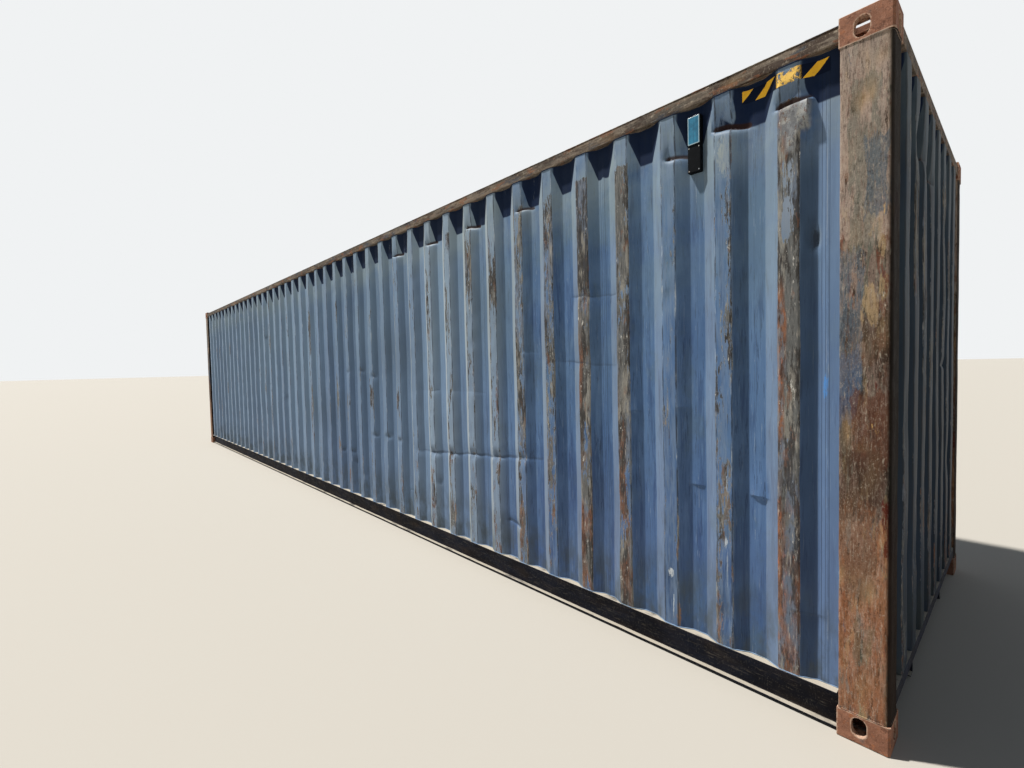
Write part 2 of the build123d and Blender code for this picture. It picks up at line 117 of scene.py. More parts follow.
def new_object(name, data):
    """An object in the scene that shows some data."""
    thing = bpy.data.objects.new(name, data)
    bpy.context.scene.collection.objects.link(thing)
    return thing


def direction(azimuth, tilt):
    """A direction of length one from its turn off +Y towards +X and its tilt upwards."""
    level = math.cos(tilt)
    return Vector((math.sin(azimuth) * level, math.cos(azimuth) * level, math.sin(tilt)))


def add_camera():
    """A camera whose lens is the focal length in pixels, over the image's width, times the
    sensor's width."""
    ahead = direction(CAMERA_AZIMUTH, CAMERA_TILT)
    level_right = ahead.cross(Vector((0, 0, 1))).normalized()
    level_up = level_right.cross(ahead)
    right = math.cos(CAMERA_ROLL) * level_right + math.sin(CAMERA_ROLL) * level_up
    up = right.cross(ahead)
    data = bpy.data.cameras.new("photo_camera")
    data.sensor_width = SENSOR
    data.lens = FOCAL_PIXELS / IMAGE_WIDTH * SENSOR
    camera = new_object("photo_camera", data)
    turn = Matrix((right, up, -ahead)).transposed().to_4x4()
    camera.matrix_world = Matrix.Translation(CAMERA_PLACE) @ turn
    bpy.context.scene.camera = camera
    return camera


camera = add_camera()
print("lens", round(camera.data.lens, 2), "mm")

# %% [markdown]
# ## Nodes
#
# A material is a tree of nodes. Adding each one by hand takes three or four lines, so one
# small function does it: it sets the node's own properties, feeds its inputs and hands back an
# output to use in the next node. An output can be added and multiplied like a number, where
# each step is one more node, so a mask is written as the formula that it is.


# %% One function that adds a node
def feed(node, inputs):
    """Gives a node's named or numbered inputs a plain value each, or another node's output."""
    for key, value in inputs.items():
        if isinstance(value, Value):
            value.tree.links.new(value.socket, node.inputs[key])
        else:
            node.inputs[key].default_value = value


def add(tree, kind, inputs=None, out=0, **settings):
    """Adds a node with its settings, feeds its inputs and returns one of its outputs."""
    node = tree.nodes.new(kind)
    for key, value in settings.items():
        setattr(node, key, value)
    feed(node, inputs or {})
    return Value(tree, node.outputs[out])


class Value:
    """What a node puts out, which can be reckoned with like a number."""

    def __init__(self, tree, socket):
        self.tree = tree
        self.socket = socket

    def apply(self, operation, *others):
        """The result of an operation, such as MAXIMUM, on this value and others."""
        terms = dict(enumerate((self, *others)))
        return add(self.tree, "ShaderNodeMath", terms, operation=operation)

    def __add__(self, other):
        return self.apply("ADD", other)

    def __sub__(self, other):
        return self.apply("SUBTRACT", other)

    def __rsub__(self, other):
        return add(self.tree, "ShaderNodeMath", {0: other, 1: self}, operation="SUBTRACT")

    def __mul__(self, other):
        return self.apply("MULTIPLY", other)

    def __abs__(self):
        return self.apply("ABSOLUTE")


# %% [markdown]
# ## Light
#
# The photograph has a high sun that grazes the long side from the door end, so each recess
# keeps the shadow of the top rail and each ridge has a light and a dark flank. A sun lamp with
# a wide disc gives that with a soft edge, and a pale sky fills the shade. What the camera and
# mirror-like surfaces see of the sky is a plain pale backdrop, which adds no light.

# %% Sun and sky
SUN_ELEVATION = math.radians(62)
SUN_SWING = math.radians(58)
SUN_STRENGTH = 6.2
SUN_DISC = math.radians(2.5)
SUN_COLOUR = "#FFFBF5"
SKY_STRENGTH = 0.22
SKY_COLOUR = "#DCE8F8"
BACKDROP_COLOUR = "#F0F2F3"


def add_sun():
    """A sun whose direction is turned from the right wall's outward normal towards the doors."""
    data = bpy.data.lights.new("sun", "SUN")
    data.energy = SUN_STRENGTH
    data.angle = SUN_DISC
    data.color = hex_colour(SUN_COLOUR)[:3]
    sun = new_object("sun", data)
    sun.rotation_mode = "QUATERNION"
    sun.rotation_quaternion = (-direction(SUN_SWING, -SUN_ELEVATION)).to_track_quat("Z", "Y")


def add_sky():
    """A world that lights with a dim pale sky and shows a plain backdrop."""
    world = bpy.data.worlds.new("sky")
    world.use_nodes = True
    tree = world.node_tree
    tree.nodes.clear()
    seen = add(tree, "ShaderNodeLightPath", out="Is Camera Ray")
    for ray in ("Is Glossy Ray", "Is Transmission Ray"):
        seen = seen.apply("MAXIMUM", add(tree, "ShaderNodeLightPath", out=ray))
    light = add(tree, "ShaderNodeBackground", {
        "Color": hex_colour(SKY_COLOUR), "Strength": SKY_STRENGTH,
    })
    backdrop = add(tree, "ShaderNodeBackground", {"Color": hex_colour(BACKDROP_COLOUR)})
    sky = add(tree, "ShaderNodeMixShader", {0: seen, 1: light, 2: backdrop})
    feed(tree.nodes.new("ShaderNodeOutputWorld"), {"Surface": sky})
    bpy.context.scene.world = world


bpy.context.scene.view_settings.view_transform = "Standard"
add_sun()
add_sky()
print("sun", math.degrees(SUN_ELEVATION), "degrees up, sky", SKY_STRENGTH)

# %% [markdown]
# ## Meshes from arrays
#
# Pressed sheet, rolled tube and folded plate are all the same thing to a modeller: a section
# carried along a line. So each piece here is a grid of points, with rows along the piece and
# columns round its section, worked out as whole arrays. A grid gives its own faces, and two
# grids with a rim between them give a plate with a real thickness.


# %% From grids to a mesh
def grid_faces(rows, columns, closed=False):
    """Corner numbers of a grid's four-sided faces. A closed grid joins its last column to its
    first."""
    row = np.arange(rows - 1)[:, None]
    column = np.arange(columns if closed else columns - 1)[None, :]
    here = row * columns + column
    beside = row * columns + (column + 1) % columns
    return np.stack([here, beside, beside + columns, here + columns], -1).reshape(-1, 4)


def plate_faces(rows, columns, closed):
    """Faces of a front grid, of a back grid seen from behind, and of the rim between them."""
    front = grid_faces(rows, columns, closed)
    count = rows * columns
    back = front[:, ::-1] + count
    number = np.arange(count).reshape(rows, columns)
    if closed:
        loops = [number[0], number[-1, ::-1]]
    else:
        loops = [np.concatenate([
            number[0, :-1], number[:-1, -1], number[-1, :0:-1], number[:0:-1, 0],
        ])]
    rims = [np.stack([np.roll(loop, -1), loop, loop + count, np.roll(loop, -1) + count], -1)
            for loop in loops]
    return np.concatenate([front, back, *rims])


def signed_volume(points, faces):
    """Six times the volume inside the faces: the sum of the determinants of their triangles.
    It is below zero where a closed shell is inside out."""
    a, b, c, d = (points[faces[:, i]] for i in range(4))
    first = np.einsum("ij,ij->i", a, np.cross(b, c))
    second = np.einsum("ij,ij->i", a, np.cross(c, d))
    return (first + second).sum()


print("a grid of 3 by 3 points has", len(grid_faces(3, 3)), "faces")


# %% From faces to a piece
def make_piece(name, points, faces, values=None, crease_angle=32):
    """A mesh object from points and four-sided faces, turned outwards, smooth below an angle,
    with one number a point for each named value."""
    points = np.asarray(points, np.float64).reshape(-1, 3)
    if signed_volume(points, faces) < 0:
        faces = faces[:, ::-1]
    mesh = bpy.data.meshes.new(name)
    mesh.vertices.add(len(points))
    mesh.vertices.foreach_set("co", points.astype(np.float32).ravel())
    mesh.loops.add(faces.size)
    mesh.loops.foreach_set("vertex_index", faces.astype(np.int32).ravel())
    mesh.polygons.add(len(faces))
    mesh.polygons.foreach_set("loop_start", np.arange(0, faces.size, 4, dtype=np.int32))
    mesh.polygons.foreach_set("use_smooth", np.ones(len(faces), bool))
    mesh.update(calc_edges=True)
    mesh.set_sharp_from_angle(angle=math.radians(crease_angle))
    for key, value in (values or {}).items():
        attribute = mesh.attributes.new(key, "FLOAT", "POINT")
        attribute.data.foreach_set("value", np.asarray(value, np.float32).ravel())
    return new_object(name, mesh)


def settle(piece, slot, *replaced):
    """Fixes a finished piece to the container, names its finish and hides the solids that it stands for.
    """
    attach(piece, "root")
    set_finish(piece, slot)
    if replaced:
        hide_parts(*replaced)
    return piece


def plate(name, front, back, closed=False, values=None):
    """A plate between two grids of points, shaped (rows, columns, 3)."""
    rows, columns = front.shape[:2]
    doubled = {key: np.stack([value, value]) for key, value in (values or {}).items()}
    return make_piece(name, np.stack([front, back]), plate_faces(rows, columns, closed), doubled)


def tell(what, pieces):
    """Prints how many pieces there are of a kind, and how many faces they have."""
    print(what, len(pieces), "pieces,", sum(len(piece.data.polygons) for piece in pieces), "faces")


print("a 3 by 3 plate has", len(plate_faces(3, 3, False)), "faces")

# %% [markdown]
# ## Floor
#
# The floor only has to be pale, plain and matt. It is far larger than the view, so that its
# edge is lost in the backdrop.

# %% Floor
FLOOR_REACH = 300.0
FLOOR_COLOUR = "#A8A49C"
FLOOR_GAP = 0.2 * MM


def add_floor():
    """One large level face, just under the castings, with a matt colour of its own."""
    side = np.array([-FLOOR_REACH, FLOOR_REACH])
    x, y = np.meshgrid(side, side)
    points = np.stack([x, y, np.full_like(x, cad_low.z - FLOOR_GAP)], -1)
    floor = make_piece("floor_plane", points, grid_faces(2, 2))
    paint = bpy.data.materials.new("pale studio floor")
    paint.use_nodes = True
    shader = paint.node_tree.nodes["Principled BSDF"]
    feed(shader, {"Base Color": hex_colour(FLOOR_COLOUR), "Roughness": 0.9})
    floor.data.materials.append(paint)


add_floor()
print("floor", 2 * FLOOR_REACH, "m wide")

# %% [markdown]
# ## Bent sheet
#
# A press brake never leaves a sharp corner: the sheet turns through a radius of a few times
# its own thickness. The section of each sheet is a line through named corners, and each corner
# is swapped for a short parabola that leaves and meets the flats smoothly. A parabola is
# easier to compute for all corners at once than an arc, and the eye can't tell them apart.

# %% Section with soft bends
LONGEST_BEND = 0.45


def unit(vectors):
    """Vectors scaled to a length of one."""
    return vectors / np.linalg.norm(vectors, axis=-1, keepdims=True)


def walked_along(path):
    """How far each point of a path is from its start, along the path."""
    return np.concatenate([[0], np.cumsum(np.linalg.norm(np.diff(path, axis=0), axis=1))])


def bent_path(corners, radius, arc=4, flat=3):
    """Points of a path whose inner corners are parabolas, and the normals to its left. A bend
    starts and ends at radius times the tangent of half its turn from the corner, and takes up
    less than half of the shorter line next to it."""
    corners = np.asarray(corners, float)
    leg = np.diff(corners, axis=0)
    length = np.linalg.norm(leg, axis=1)
    heading = leg / length[:, None]
    left = np.stack([-heading[:, 1], heading[:, 0]], 1)
    turn = np.arccos(np.clip((heading[:-1] * heading[1:]).sum(1), -1, 1))
    most = LONGEST_BEND * np.minimum(length[:-1], length[1:])
    reach = np.minimum(radius * np.tan(turn / 2), most)
    begin = corners[1:-1] - heading[:-1] * reach[:, None]
    end = corners[1:-1] + heading[1:] * reach[:, None]
    s = np.linspace(0, 1, arc)[None, :, None]
    bend = (1 - s) ** 2 * begin[:, None] + 2 * s * (1 - s) * corners[1:-1, None] + s ** 2 * end[:, None]
    bend_left = unit((1 - s) * left[:-1, None] + s * left[1:, None])
    f = (np.arange(1, flat) / flat)[None, :, None]
    flat_begin = np.vstack([corners[:1], end])
    flat_end = np.vstack([begin, corners[-1:]])
    flats = flat_begin[:, None] + f * (flat_end - flat_begin)[:, None]
    flat_left = np.broadcast_to(left[:, None], flats.shape)
    body = np.concatenate([flats[:-1], bend], 1).reshape(-1, 2)
    body_left = np.concatenate([flat_left[:-1], bend_left], 1).reshape(-1, 2)
    points = np.vstack([corners[:1], body, flats[-1], corners[-1:]])
    normals = np.vstack([left[:1], body_left, flat_left[-1], left[-1:]])
    return points, normals


print("a bent corner has", len(bent_path([(0, 0), (1, 0), (1, 1)], 0.1)[0]), "points")


# %% Corrugated sheet
def corrugation(reach, ridge, slope, valley, depth):
    """Corners (place, rise) of a corrugated sheet from -reach to reach: as many whole ridges
    as fit, centred, with a flat at each end."""
    pitch = ridge + 2 * slope + valley
    count = int((2 * reach - valley) // pitch)
    centre = (np.arange(count) - (count - 1) / 2) * pitch
    place = centre[:, None] + np.array([-ridge / 2 - slope, -ridge / 2, ridge / 2, ridge / 2 + slope])
    rise = np.broadcast_to([0, depth, depth, 0], place.shape)
    inner = np.stack([place.ravel(), rise.ravel()], 1)
    return np.vstack([[-reach, 0], inner, [reach, 0]])


def pressed_sheet(name, corners, depth, rows, place, damage, sheet, bend, arc=4, flat=3):
    """A corrugated sheet. Its section runs through the corners, and place turns (along, row,
    rise) into a point. Damage gives the push outwards at each point, and other named values.
    The ridge value is how far a point stood out when new, as a share of the depth, and the
    crest value how far it stands out with its dents."""
    path, normal = bent_path(corners, bend, arc, flat)
    along = np.broadcast_to(path[None, :, 0], (len(rows), len(path)))
    rise = np.broadcast_to(path[None, :, 1], along.shape)
    row = np.broadcast_to(rows[:, None], along.shape)
    push, values = damage(along, row, np.clip(rise / depth, 0, 1))
    values["crest"] = np.clip((rise + push) / depth, 0, 1.2)
    values["ridge"] = np.clip(rise / depth, 0, 1)
    front = place(along, row, rise + push)
    back = place(along - sheet * normal[None, :, 0], row, rise + push - sheet * normal[None, :, 1])
    return plate(name, front, back, values=values)


# Pressed side walls: ridge, slope, valley and sheet, as the real ones are rolled
WALL_RIDGE = 72 * MM
WALL_SLOPE = 68 * MM
WALL_VALLEY = 71.8 * MM
WALL_SHEET = 1.6 * MM
WALL_BEND = 13 * MM
WALL_PITCH = WALL_RIDGE + 2 * WALL_SLOPE + WALL_VALLEY
wall_low, wall_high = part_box("side_wall_right")
wall_reach = wall_high.x
wall_trough = -(wall_high.y - WALL_SHEET)
wall_depth = -wall_low.y - wall_trough
wall_corners = corrugation(wall_reach, WALL_RIDGE, WALL_SLOPE, WALL_VALLEY, wall_depth)
print("side wall", round(wall_depth / MM, 1), "mm deep,", (len(wall_corners) - 2) // 4, "ridges")

# %% [markdown]
# ## Damage to a sheet
#
# A wall that is hit by forks, boxes and lifting gear shows three things: wide shallow waves
# where the whole sheet has moved, small dents on the ridges, which stand out first, and hard
# horizontal creases where a ridge has buckled. Each is a simple formula of the place on the
# wall: sums of sine waves, bell-shaped dimples, and a groove that is steep below its line and
# gentle above it, so that its lower lip catches the light.


# %% Waves, dimples and creases
def smooth_step(x, low, high):
    """0 below low, 1 above high, and a smooth curve 3t^2 - 2t^3 between them."""
    t = np.clip((x - low) / (high - low), 0, 1)
    return t * t * (3 - 2 * t)


def window(x, low, high, rise, fall):
    """1 between low and high and 0 outside them, with smooth flanks inside as wide as told."""
    return smooth_step(x, low, low + rise) * (1 - smooth_step(x, high - fall, high))


def waves(x, z, size, seed, count=6):
    """A wandering surface between about -1 and 1: the mean of sine waves in random directions,
    with wavelengths of 0.7 to 1.6 times the given size."""
    draw = np.random.default_rng(seed)
    turn = draw.uniform(0, 2 * np.pi, count)
    phase = draw.uniform(0, 2 * np.pi, count)
    length = size * draw.uniform(0.7, 1.6, count)
    total = np.zeros(np.broadcast(x, z).shape)
    for t, p, l in zip(turn, phase, length):
        total += np.sin(2 * np.pi * (x * np.cos(t) + z * np.sin(t)) / l + p)
    return total / np.sqrt(count)


def dimples(x, z, table):
    """The sum of bell-shaped dents. Each row of the table is (x, z, half-width, half-height,
    push), and a push below zero goes inwards."""
    total = np.zeros(x.shape)
    for cx, cz, a, b, push in table:
        near = (np.abs(x - cx) < 3 * a) & (np.abs(z - cz) < 3 * b)
        total[near] += push * np.exp(-((x[near] - cx) / a) ** 2 - ((z[near] - cz) / b) ** 2)
    return total


print("a wave's mean size", round(float(np.abs(waves(np.zeros(99), np.arange(99), 9, 1)).mean()), 2))

# %% Creases, and the rows that they need
CREASE_ENDS = 28 * MM
CREASE_WANDER = 5 * MM
CREASE_WANDER_LENGTH = 110 * MM
CREASE_SWELL = 0.3
CREASE_SWELL_LENGTH = 400 * MM
FOLD_REACH = 34 * MM
FOLD_BELOW = 3 * MM
DEEP_FOLD = 22 * MM
# Rows of points round a crease, in millimetres above and below it
CREASE_ROWS = np.array([-30, -20, -13, -8, -4, 0, 4, 9, 16, 26, 40, 58]) * MM


def creases(x, z, table):
    """The depth of buckled lines. Each row is (x0, x1, z0, z1, depth, above, below). The groove
    leans in over the height above its line, comes back over the height below it, and fades at
    its ends. A depth below zero gives a bulge with a sharp lower edge."""
    total = np.zeros(x.shape)
    for x0, x1, z0, z1, depth, above, below in table:
        line = z0 + (z1 - z0) * (x - x0) / (x1 - x0)
        t = z - (line + CREASE_WANDER * waves(x, 0 * z, CREASE_WANDER_LENGTH, 5))
        lean = np.clip(1 - t / above, 0, 1) ** 1.5
        profile = np.where(t > 0, lean, np.exp(-np.abs(t) / below))
        ends = window(x, x0 - CREASE_ENDS, x1 + CREASE_ENDS, CREASE_ENDS, CREASE_ENDS)
        swell = 1 + CREASE_SWELL * waves(x, 0 * z, CREASE_SWELL_LENGTH, 6)
        total += depth * swell * profile * ends
    return total


def fold_lines(x, z, table):
    """Where the coat has cracked along buckled lines: 1 on a deep line, less above it as far as
    the fold reaches, and 0 just below it."""
    thin = np.array([
        [x0, x1, z0, z1, np.clip(depth, 0, None), FOLD_REACH, FOLD_BELOW]
        for x0, x1, z0, z1, depth, _, _ in table
    ])
    return np.clip(creases(x, z, thin) / DEEP_FOLD, 0, 1)


def scattered_dents(seed, count, reach, low, high, pitch, depth):
    """Random dents on the ridges: most of them shallow and a few deep, and each from 0.7 to 3
    times as tall as it is wide."""
    draw = np.random.default_rng(seed)
    ridge = np.floor(draw.uniform(-reach, reach, count) / pitch) + 0.5
    x = ridge * pitch + draw.uniform(-35, 35, count) * MM
    z = draw.uniform(low, high, count)
    a = draw.uniform(16, 34, count) * MM
    b = a * draw.uniform(0.7, 3, count)
    push = -depth * draw.uniform(0.25, 1, count) ** 2
    return np.stack([x, z, a, b, push], 1)


def rows_with(low, high, step, levels):
    """Levels from low to high a step apart, with fine ones round each crease."""
    base = np.linspace(low, high, int(round((high - low) / step)) + 1)
    fine = (np.reshape(levels, (-1, 1)) + CREASE_ROWS).ravel()
    rows = np.sort(np.concatenate([base, fine]))
    rows = rows[(rows >= low) & (rows <= high)]
    keep = np.concatenate([[True], np.diff(rows) > 2 * MM])
    keep[-1] = True
    return rows[keep]


print("a metre of plain sheet has", len(rows_with(0, 1, 60 * MM, [])), "rows")

# %% [markdown]
# ## Right wall
#
# The wall isn't one sheet. It is welded up from panels of four ridges, and each lies over the
# edge of the next in a valley, which shows as a fine dark line. The photograph gives the
# damage: every second ridge is buckled just below the top rail, a long crease runs along the
# middle of the wall below the waist, the last ridge but none is battered at its head, and the
# ridges near the front end are worn to bare rusty steel.

# %% Where the right wall is buckled and dented
# Buckled lines: start and end along X, level at each, depth, height above and below
RIGHT_CREASES = np.array([
    [2380, 2480, 2614, 2610, 16, 130, 8], [2938, 3040, 2612, 2608, 17, 130, 8],
    [3500, 3610, 2617, 2612, 19, 140, 8], [4060, 4180, 2612, 2604, 22, 150, 8],
    [5180, 5292, 2599, 2572, 30, 190, 9], [5432, 5558, 2647, 2622, 30, 150, 9],
    [5700, 5806, 2646, 2650, 22, 90, 7], [2692, 4218, 808, 924, 13, 80, 12],
    [3880, 4015, 436, 415, 16, 60, 9], [4200, 4840, 1600, 1545, 7, 150, 70],
    [2500, 2560, 412, 418, 9, 60, 9], [2760, 3020, 1362, 1366, 6, 110, 40],
    [3240, 3620, 1368, 1360, 5, 110, 40],
    [4520, 4840, 1975, 1952, 7, 90, 45], [4090, 4190, 1650, 1645, 6, 50, 12],
    [4950, 4974, 1289, 1288, -8, 120, 7], [5296, 5326, 938, 937, -8, 150, 7],
    [5588, 5622, 926, 925, -9, 170, 7], [5240, 5262, 1328, 1326, -6, 130, 7],
    [5760, 5850, 470, 465, -5, 120, 9],
]) * MM
# Dents and bulges: middle along X and Z, half-width, half-height, push outwards
RIGHT_DIMPLES = np.array([
    [5829, 2068, 15, 46, -17], [5748, 2694, 44, 34, -11], [5808, 2600, 14, 40, 6],
    [5722, 2590, 22, 34, -5], [5744, 2480, 20, 30, 4], [5178, 380, 26, 130, -8],
    [5463, 690, 22, 40, -5], [5456, 330, 30, 60, -7], [4057, 915, 28, 34, -11],
    [3780, 895, 30, 44, -13], [3500, 872, 28, 38, -13], [3220, 850, 28, 38, -12],
    [2938, 828, 28, 34, -12], [-760, 470, 60, 90, -12],
    [-2200, 2310, 24, 24, -9], [-1750, 2100, 24, 24, -9], [-900, 1180, 30, 40, -9],
    [-3100, 900, 26, 26, -8], [1045, 640, 24, 26, -12], [1318, 655, 24, 24, -13],
    [1350, 540, 20, 34, -9], [1865, 880, 24, 26, -15], [2138, 892, 24, 28, -16],
    [2380, 876, 28, 26, -13], [1268, 1535, 24, 26, -11], [1590, 1554, 22, 28, -11],
    [1860, 1490, 24, 28, -13], [3010, 590, 24, 34, -10], [3750, 2000, 300, 260, -5],
    [2300, 1700, 400, 300, -6], [4700, 700, 300, 200, -5], [700, 1000, 500, 300, -6],
]) * MM
print(len(RIGHT_CREASES), "buckled lines,", len(RIGHT_DIMPLES), "dents and bulges")

# %% The battered head of the right wall's last ridge
# Between two levels the ridge is as high as its crest up to this place, with a flank beyond
HEAD_EDGE = 5804 * MM
HEAD_LOW = 2520 * MM
HEAD_HIGH = 2644 * MM
HEAD_FLANK = 26 * MM
# How far before and beyond its edge the head is changed, and its soft ends below and above
HEAD_SPAN = (80 * MM, 30 * MM)
HEAD_RISE = 70 * MM
HEAD_FALL = 12 * MM
HEAD_SCRAPED_BEYOND = 12 * MM
# The scraped tail below the head: from and to along X, then from and to in height
HEAD_TAIL = [5719 * MM, 5768 * MM, 2432 * MM, 2536 * MM]
BOX_SOFT = 8 * MM


def widened(x, z, crest, edge, low, high):
    """How far a ridge has been squeezed out to an edge between two levels: up to the crest as
    far as the edge, with a steep flank beyond it."""
    height = wall_depth * (1 - smooth_step(x, edge, edge + HEAD_FLANK))
    inside = (x > edge - HEAD_SPAN[0]) & (x < edge + HEAD_SPAN[1])
    lifted = np.where(inside, np.clip(height - crest * wall_depth, 0, None), 0)
    return lifted * window(z, low, high + HEAD_FALL / 2, HEAD_RISE, HEAD_FALL)


def box_mask(x, z, x0, x1, z0, z1):
    """1 inside a box with soft sides, and 0 outside it."""
    return window(x, x0, x1, BOX_SOFT, BOX_SOFT) * window(z, z0, z1, BOX_SOFT, BOX_SOFT)


def scraped_head(x, z, edge, low, high):
    """1 on the battered head of a ridge and on the narrow tail below it, and 0 elsewhere."""
    start = np.floor(edge / WALL_PITCH) * WALL_PITCH + (WALL_VALLEY + 2 * WALL_SLOPE) / 2
    wide = box_mask(x, z, start, edge + HEAD_SCRAPED_BEYOND, low, high)
    return np.maximum(wide, box_mask(x, z, *HEAD_TAIL))


print("the head is", round((HEAD_HIGH - HEAD_LOW) / MM), "mm tall")

# %% Damage of a side wall
# How worn the ridges next to the front end are, the nearest first
NEAR_WEAR = [0.96, 0.47, 0.4, 0.72, 0.82, 0.56, 0.58, 0.54, 0.46, 0.52, 0.46, 0.42]
# How far from its lower and upper edge a sheet is held still by the welds there
HELD = (60 * MM, 40 * MM)
# Wide waves and fine ones: how high and how long they are
WALL_SWAY = 1.6 * MM
WALL_SWAY_LENGTH = 900 * MM
WALL_RIPPLE = 0.7 * MM
WALL_RIPPLE_LENGTH = 160 * MM
WALL_DENTS = 150
DEEPEST_DENT = 6 * MM
# A dent that is as deep as this gets the full dirt and painted shade of a dent
DARKEST_DENT = 10 * MM


def ridge_wear(seed, near):
    """Wear of each ridge, from 0 to 1: random, with the ridges next to +X listed."""
    count = (len(wall_corners) - 2) // 4
    level = np.random.default_rng(seed).uniform(0.26, 0.48, count)
    level[count - len(near):] = near[::-1]
    return level


def side_wall_damage(crease_table, dimple_table, levels, sheet_seed, head=None):
    """The damage of a side wall as a function of the place on it. Ridges, which stand out, get
    the full push of a dent or a fold, and valleys a share of it."""
    bottom, top = wall_low.z, wall_high.z
    dents = scattered_dents(
        sheet_seed, WALL_DENTS, wall_reach, bottom, top, WALL_PITCH, DEEPEST_DENT
    )

    def damage(x, z, crest):
        number = np.floor(x / WALL_PITCH).astype(int)
        ridge = np.clip(number + len(levels) // 2, 0, len(levels) - 1)
        edge = window(z, bottom, top, *HELD)
        fold = creases(x, z, crease_table)
        hits = dimples(x, z, dents) * crest + dimples(x, z, dimple_table)
        push = WALL_SWAY * waves(x, z, WALL_SWAY_LENGTH, sheet_seed + 1)
        ripple = WALL_RIPPLE * waves(x, z, WALL_RIPPLE_LENGTH, sheet_seed + 2)
        push += ripple * (0.3 + 0.7 * crest)
        push += hits - np.clip(fold, 0, None) * (0.25 + 0.75 * crest) - np.clip(fold, None, 0)
        if head:
            push += widened(x, z, crest, *head)
        across = (x - (number + 0.5) * WALL_PITCH) / (WALL_RIDGE / 2)
        return push * edge, {
            "wear": levels[ridge] * (1 + 0.16 * waves(ridge * 1.0, z, 0.7, sheet_seed + 3)),
            "across": np.clip(across, -2, 2),
            "along": x,
            "crease": fold_lines(x, z, crease_table),
            "dent": np.clip(-hits / DARKEST_DENT, 0, 1),
            "head": scraped_head(x, z, *head) if head else 0 * x,
        }

    return damage


print("mean wear", round(ridge_wear(3, NEAR_WEAR).mean(), 2))

# %% Right wall in welded panels
# Each seam's valley, counted from the middle of the wall
SEAM_VALLEYS = np.arange(-19, 22, 4)
LAP = 9 * MM
LAP_RISE = 1.9 * MM
# Panels that begin nearer to the front end than this have finer rows
FINE_PANELS_FROM = 2500 * MM
FINE_ROWS = 25 * MM
COARSE_ROWS = 60 * MM
# A coarse panel gets more rows where a dent is less tall than this
SMALL_DENT = 36 * MM


def right_place(along, row, rise):
    """A point of the right wall, which faces -Y."""
    return np.stack([along, -(wall_trough + rise), row], -1)


def left_place(along, row, rise):
    """A point of the left wall, which faces +Y."""
    return np.stack([-along, wall_trough + rise, row], -1)


def lap_lift(x):
    """How far a panel's edge is lifted by the sheet that it lies over, as a function of the
    distance beyond the last seam."""
    beyond = np.mod(x - SEAM_VALLEYS[0] * WALL_PITCH + LAP, 4 * WALL_PITCH)
    return LAP_RISE * (1 - smooth_step(beyond, LAP, 3 * LAP))


def wall_panels(side, place, damage, crease_table, dimple_table, coarse):
    """The panels of a side wall. Each begins a little before its seam and is lifted there by
    the sheet that it lies over. Far panels have fewer rows, with more round their dents."""
    edges = np.concatenate([[-wall_reach], SEAM_VALLEYS * WALL_PITCH, [wall_reach]])
    made = []
    for i, (x0, x1) in enumerate(zip(edges[:-1], edges[1:])):
        start = x0 if i == 0 else x0 - LAP
        inside = wall_corners[(wall_corners[:, 0] > x0 + LAP) & (wall_corners[:, 0] < x1 - LAP)]
        corners = np.vstack([[start, 0], inside, [x1, 0]])
        touching = crease_table[(crease_table[:, 0] < x1) & (crease_table[:, 1] > x0)]
        levels = touching[:, 2:4].mean(1)
        fine = x0 > FINE_PANELS_FROM and not coarse
        if not fine:
            beside = (dimple_table[:, 0] > x0) & (dimple_table[:, 0] < x1)
            small = dimple_table[:, 3] < SMALL_DENT
            levels = np.concatenate([levels, dimple_table[beside & small, 1]])
        rows = rows_with(wall_low.z, wall_high.z, FINE_ROWS if fine else COARSE_ROWS, levels)

        def lapped(x, z, crest, begin=start):
            push, values = damage(x, z, crest)
            return push + np.where(x > begin - LAP, lap_lift(np.maximum(x, begin)), 0), values

        piece = pressed_sheet(
            f"{side}_wall_panel_{i + 1:02d}", corners, wall_depth, rows, place, lapped, WALL_SHEET,
            WALL_BEND, arc=3 if coarse else 4, flat=4 if fine else 2,
        )
        made.append(settle(piece, "wall_paint", f"side_wall_{side}"))
    return made


right_damage = side_wall_damage(
    RIGHT_CREASES, RIGHT_DIMPLES, ridge_wear(3, NEAR_WEAR), 11, (HEAD_EDGE, HEAD_LOW, HEAD_HIGH)
)
right_panels = wall_panels("right", right_place, right_damage, RIGHT_CREASES, RIGHT_DIMPLES, False)
tell("right wall", right_panels)

# %% [markdown]
# ## Left wall
#
# No photograph shows the left wall. It is the same rolled panels, so the same functions make
# it, with other random dents and with a few creases that such a wall picks up.

# %% Left wall
LEFT_CREASES = np.array([
    [-4400, -4260, 2606, 2612, 16, 130, 8], [-1900, -1100, 900, 870, 9, 60, 12],
    [2240, 2360, 2604, 2610, 16, 130, 8], [3900, 4700, 1240, 1260, 8, 110, 30],
]) * MM
LEFT_DIMPLES = np.array([
    [-3000, 1500, 30, 60, -10], [650, 700, 40, 60, -10], [5180, 420, 30, 120, -9],
]) * MM
left_damage = side_wall_damage(LEFT_CREASES, LEFT_DIMPLES, ridge_wear(8, [0.6, 0.5]), 31)
left_panels = wall_panels("left", left_place, left_damage, LEFT_CREASES, LEFT_DIMPLES, True)
tell("left wall", left_panels)

# %% [markdown]
# ## Front wall
#
# The blank front end is thicker sheet with deeper, squarer folds. The photograph sees it from
# the side, where its ridges are narrow light bands between dark gaps, and shows that something
# has pushed against it near the top of its right half: three ridges lean out and are bent.

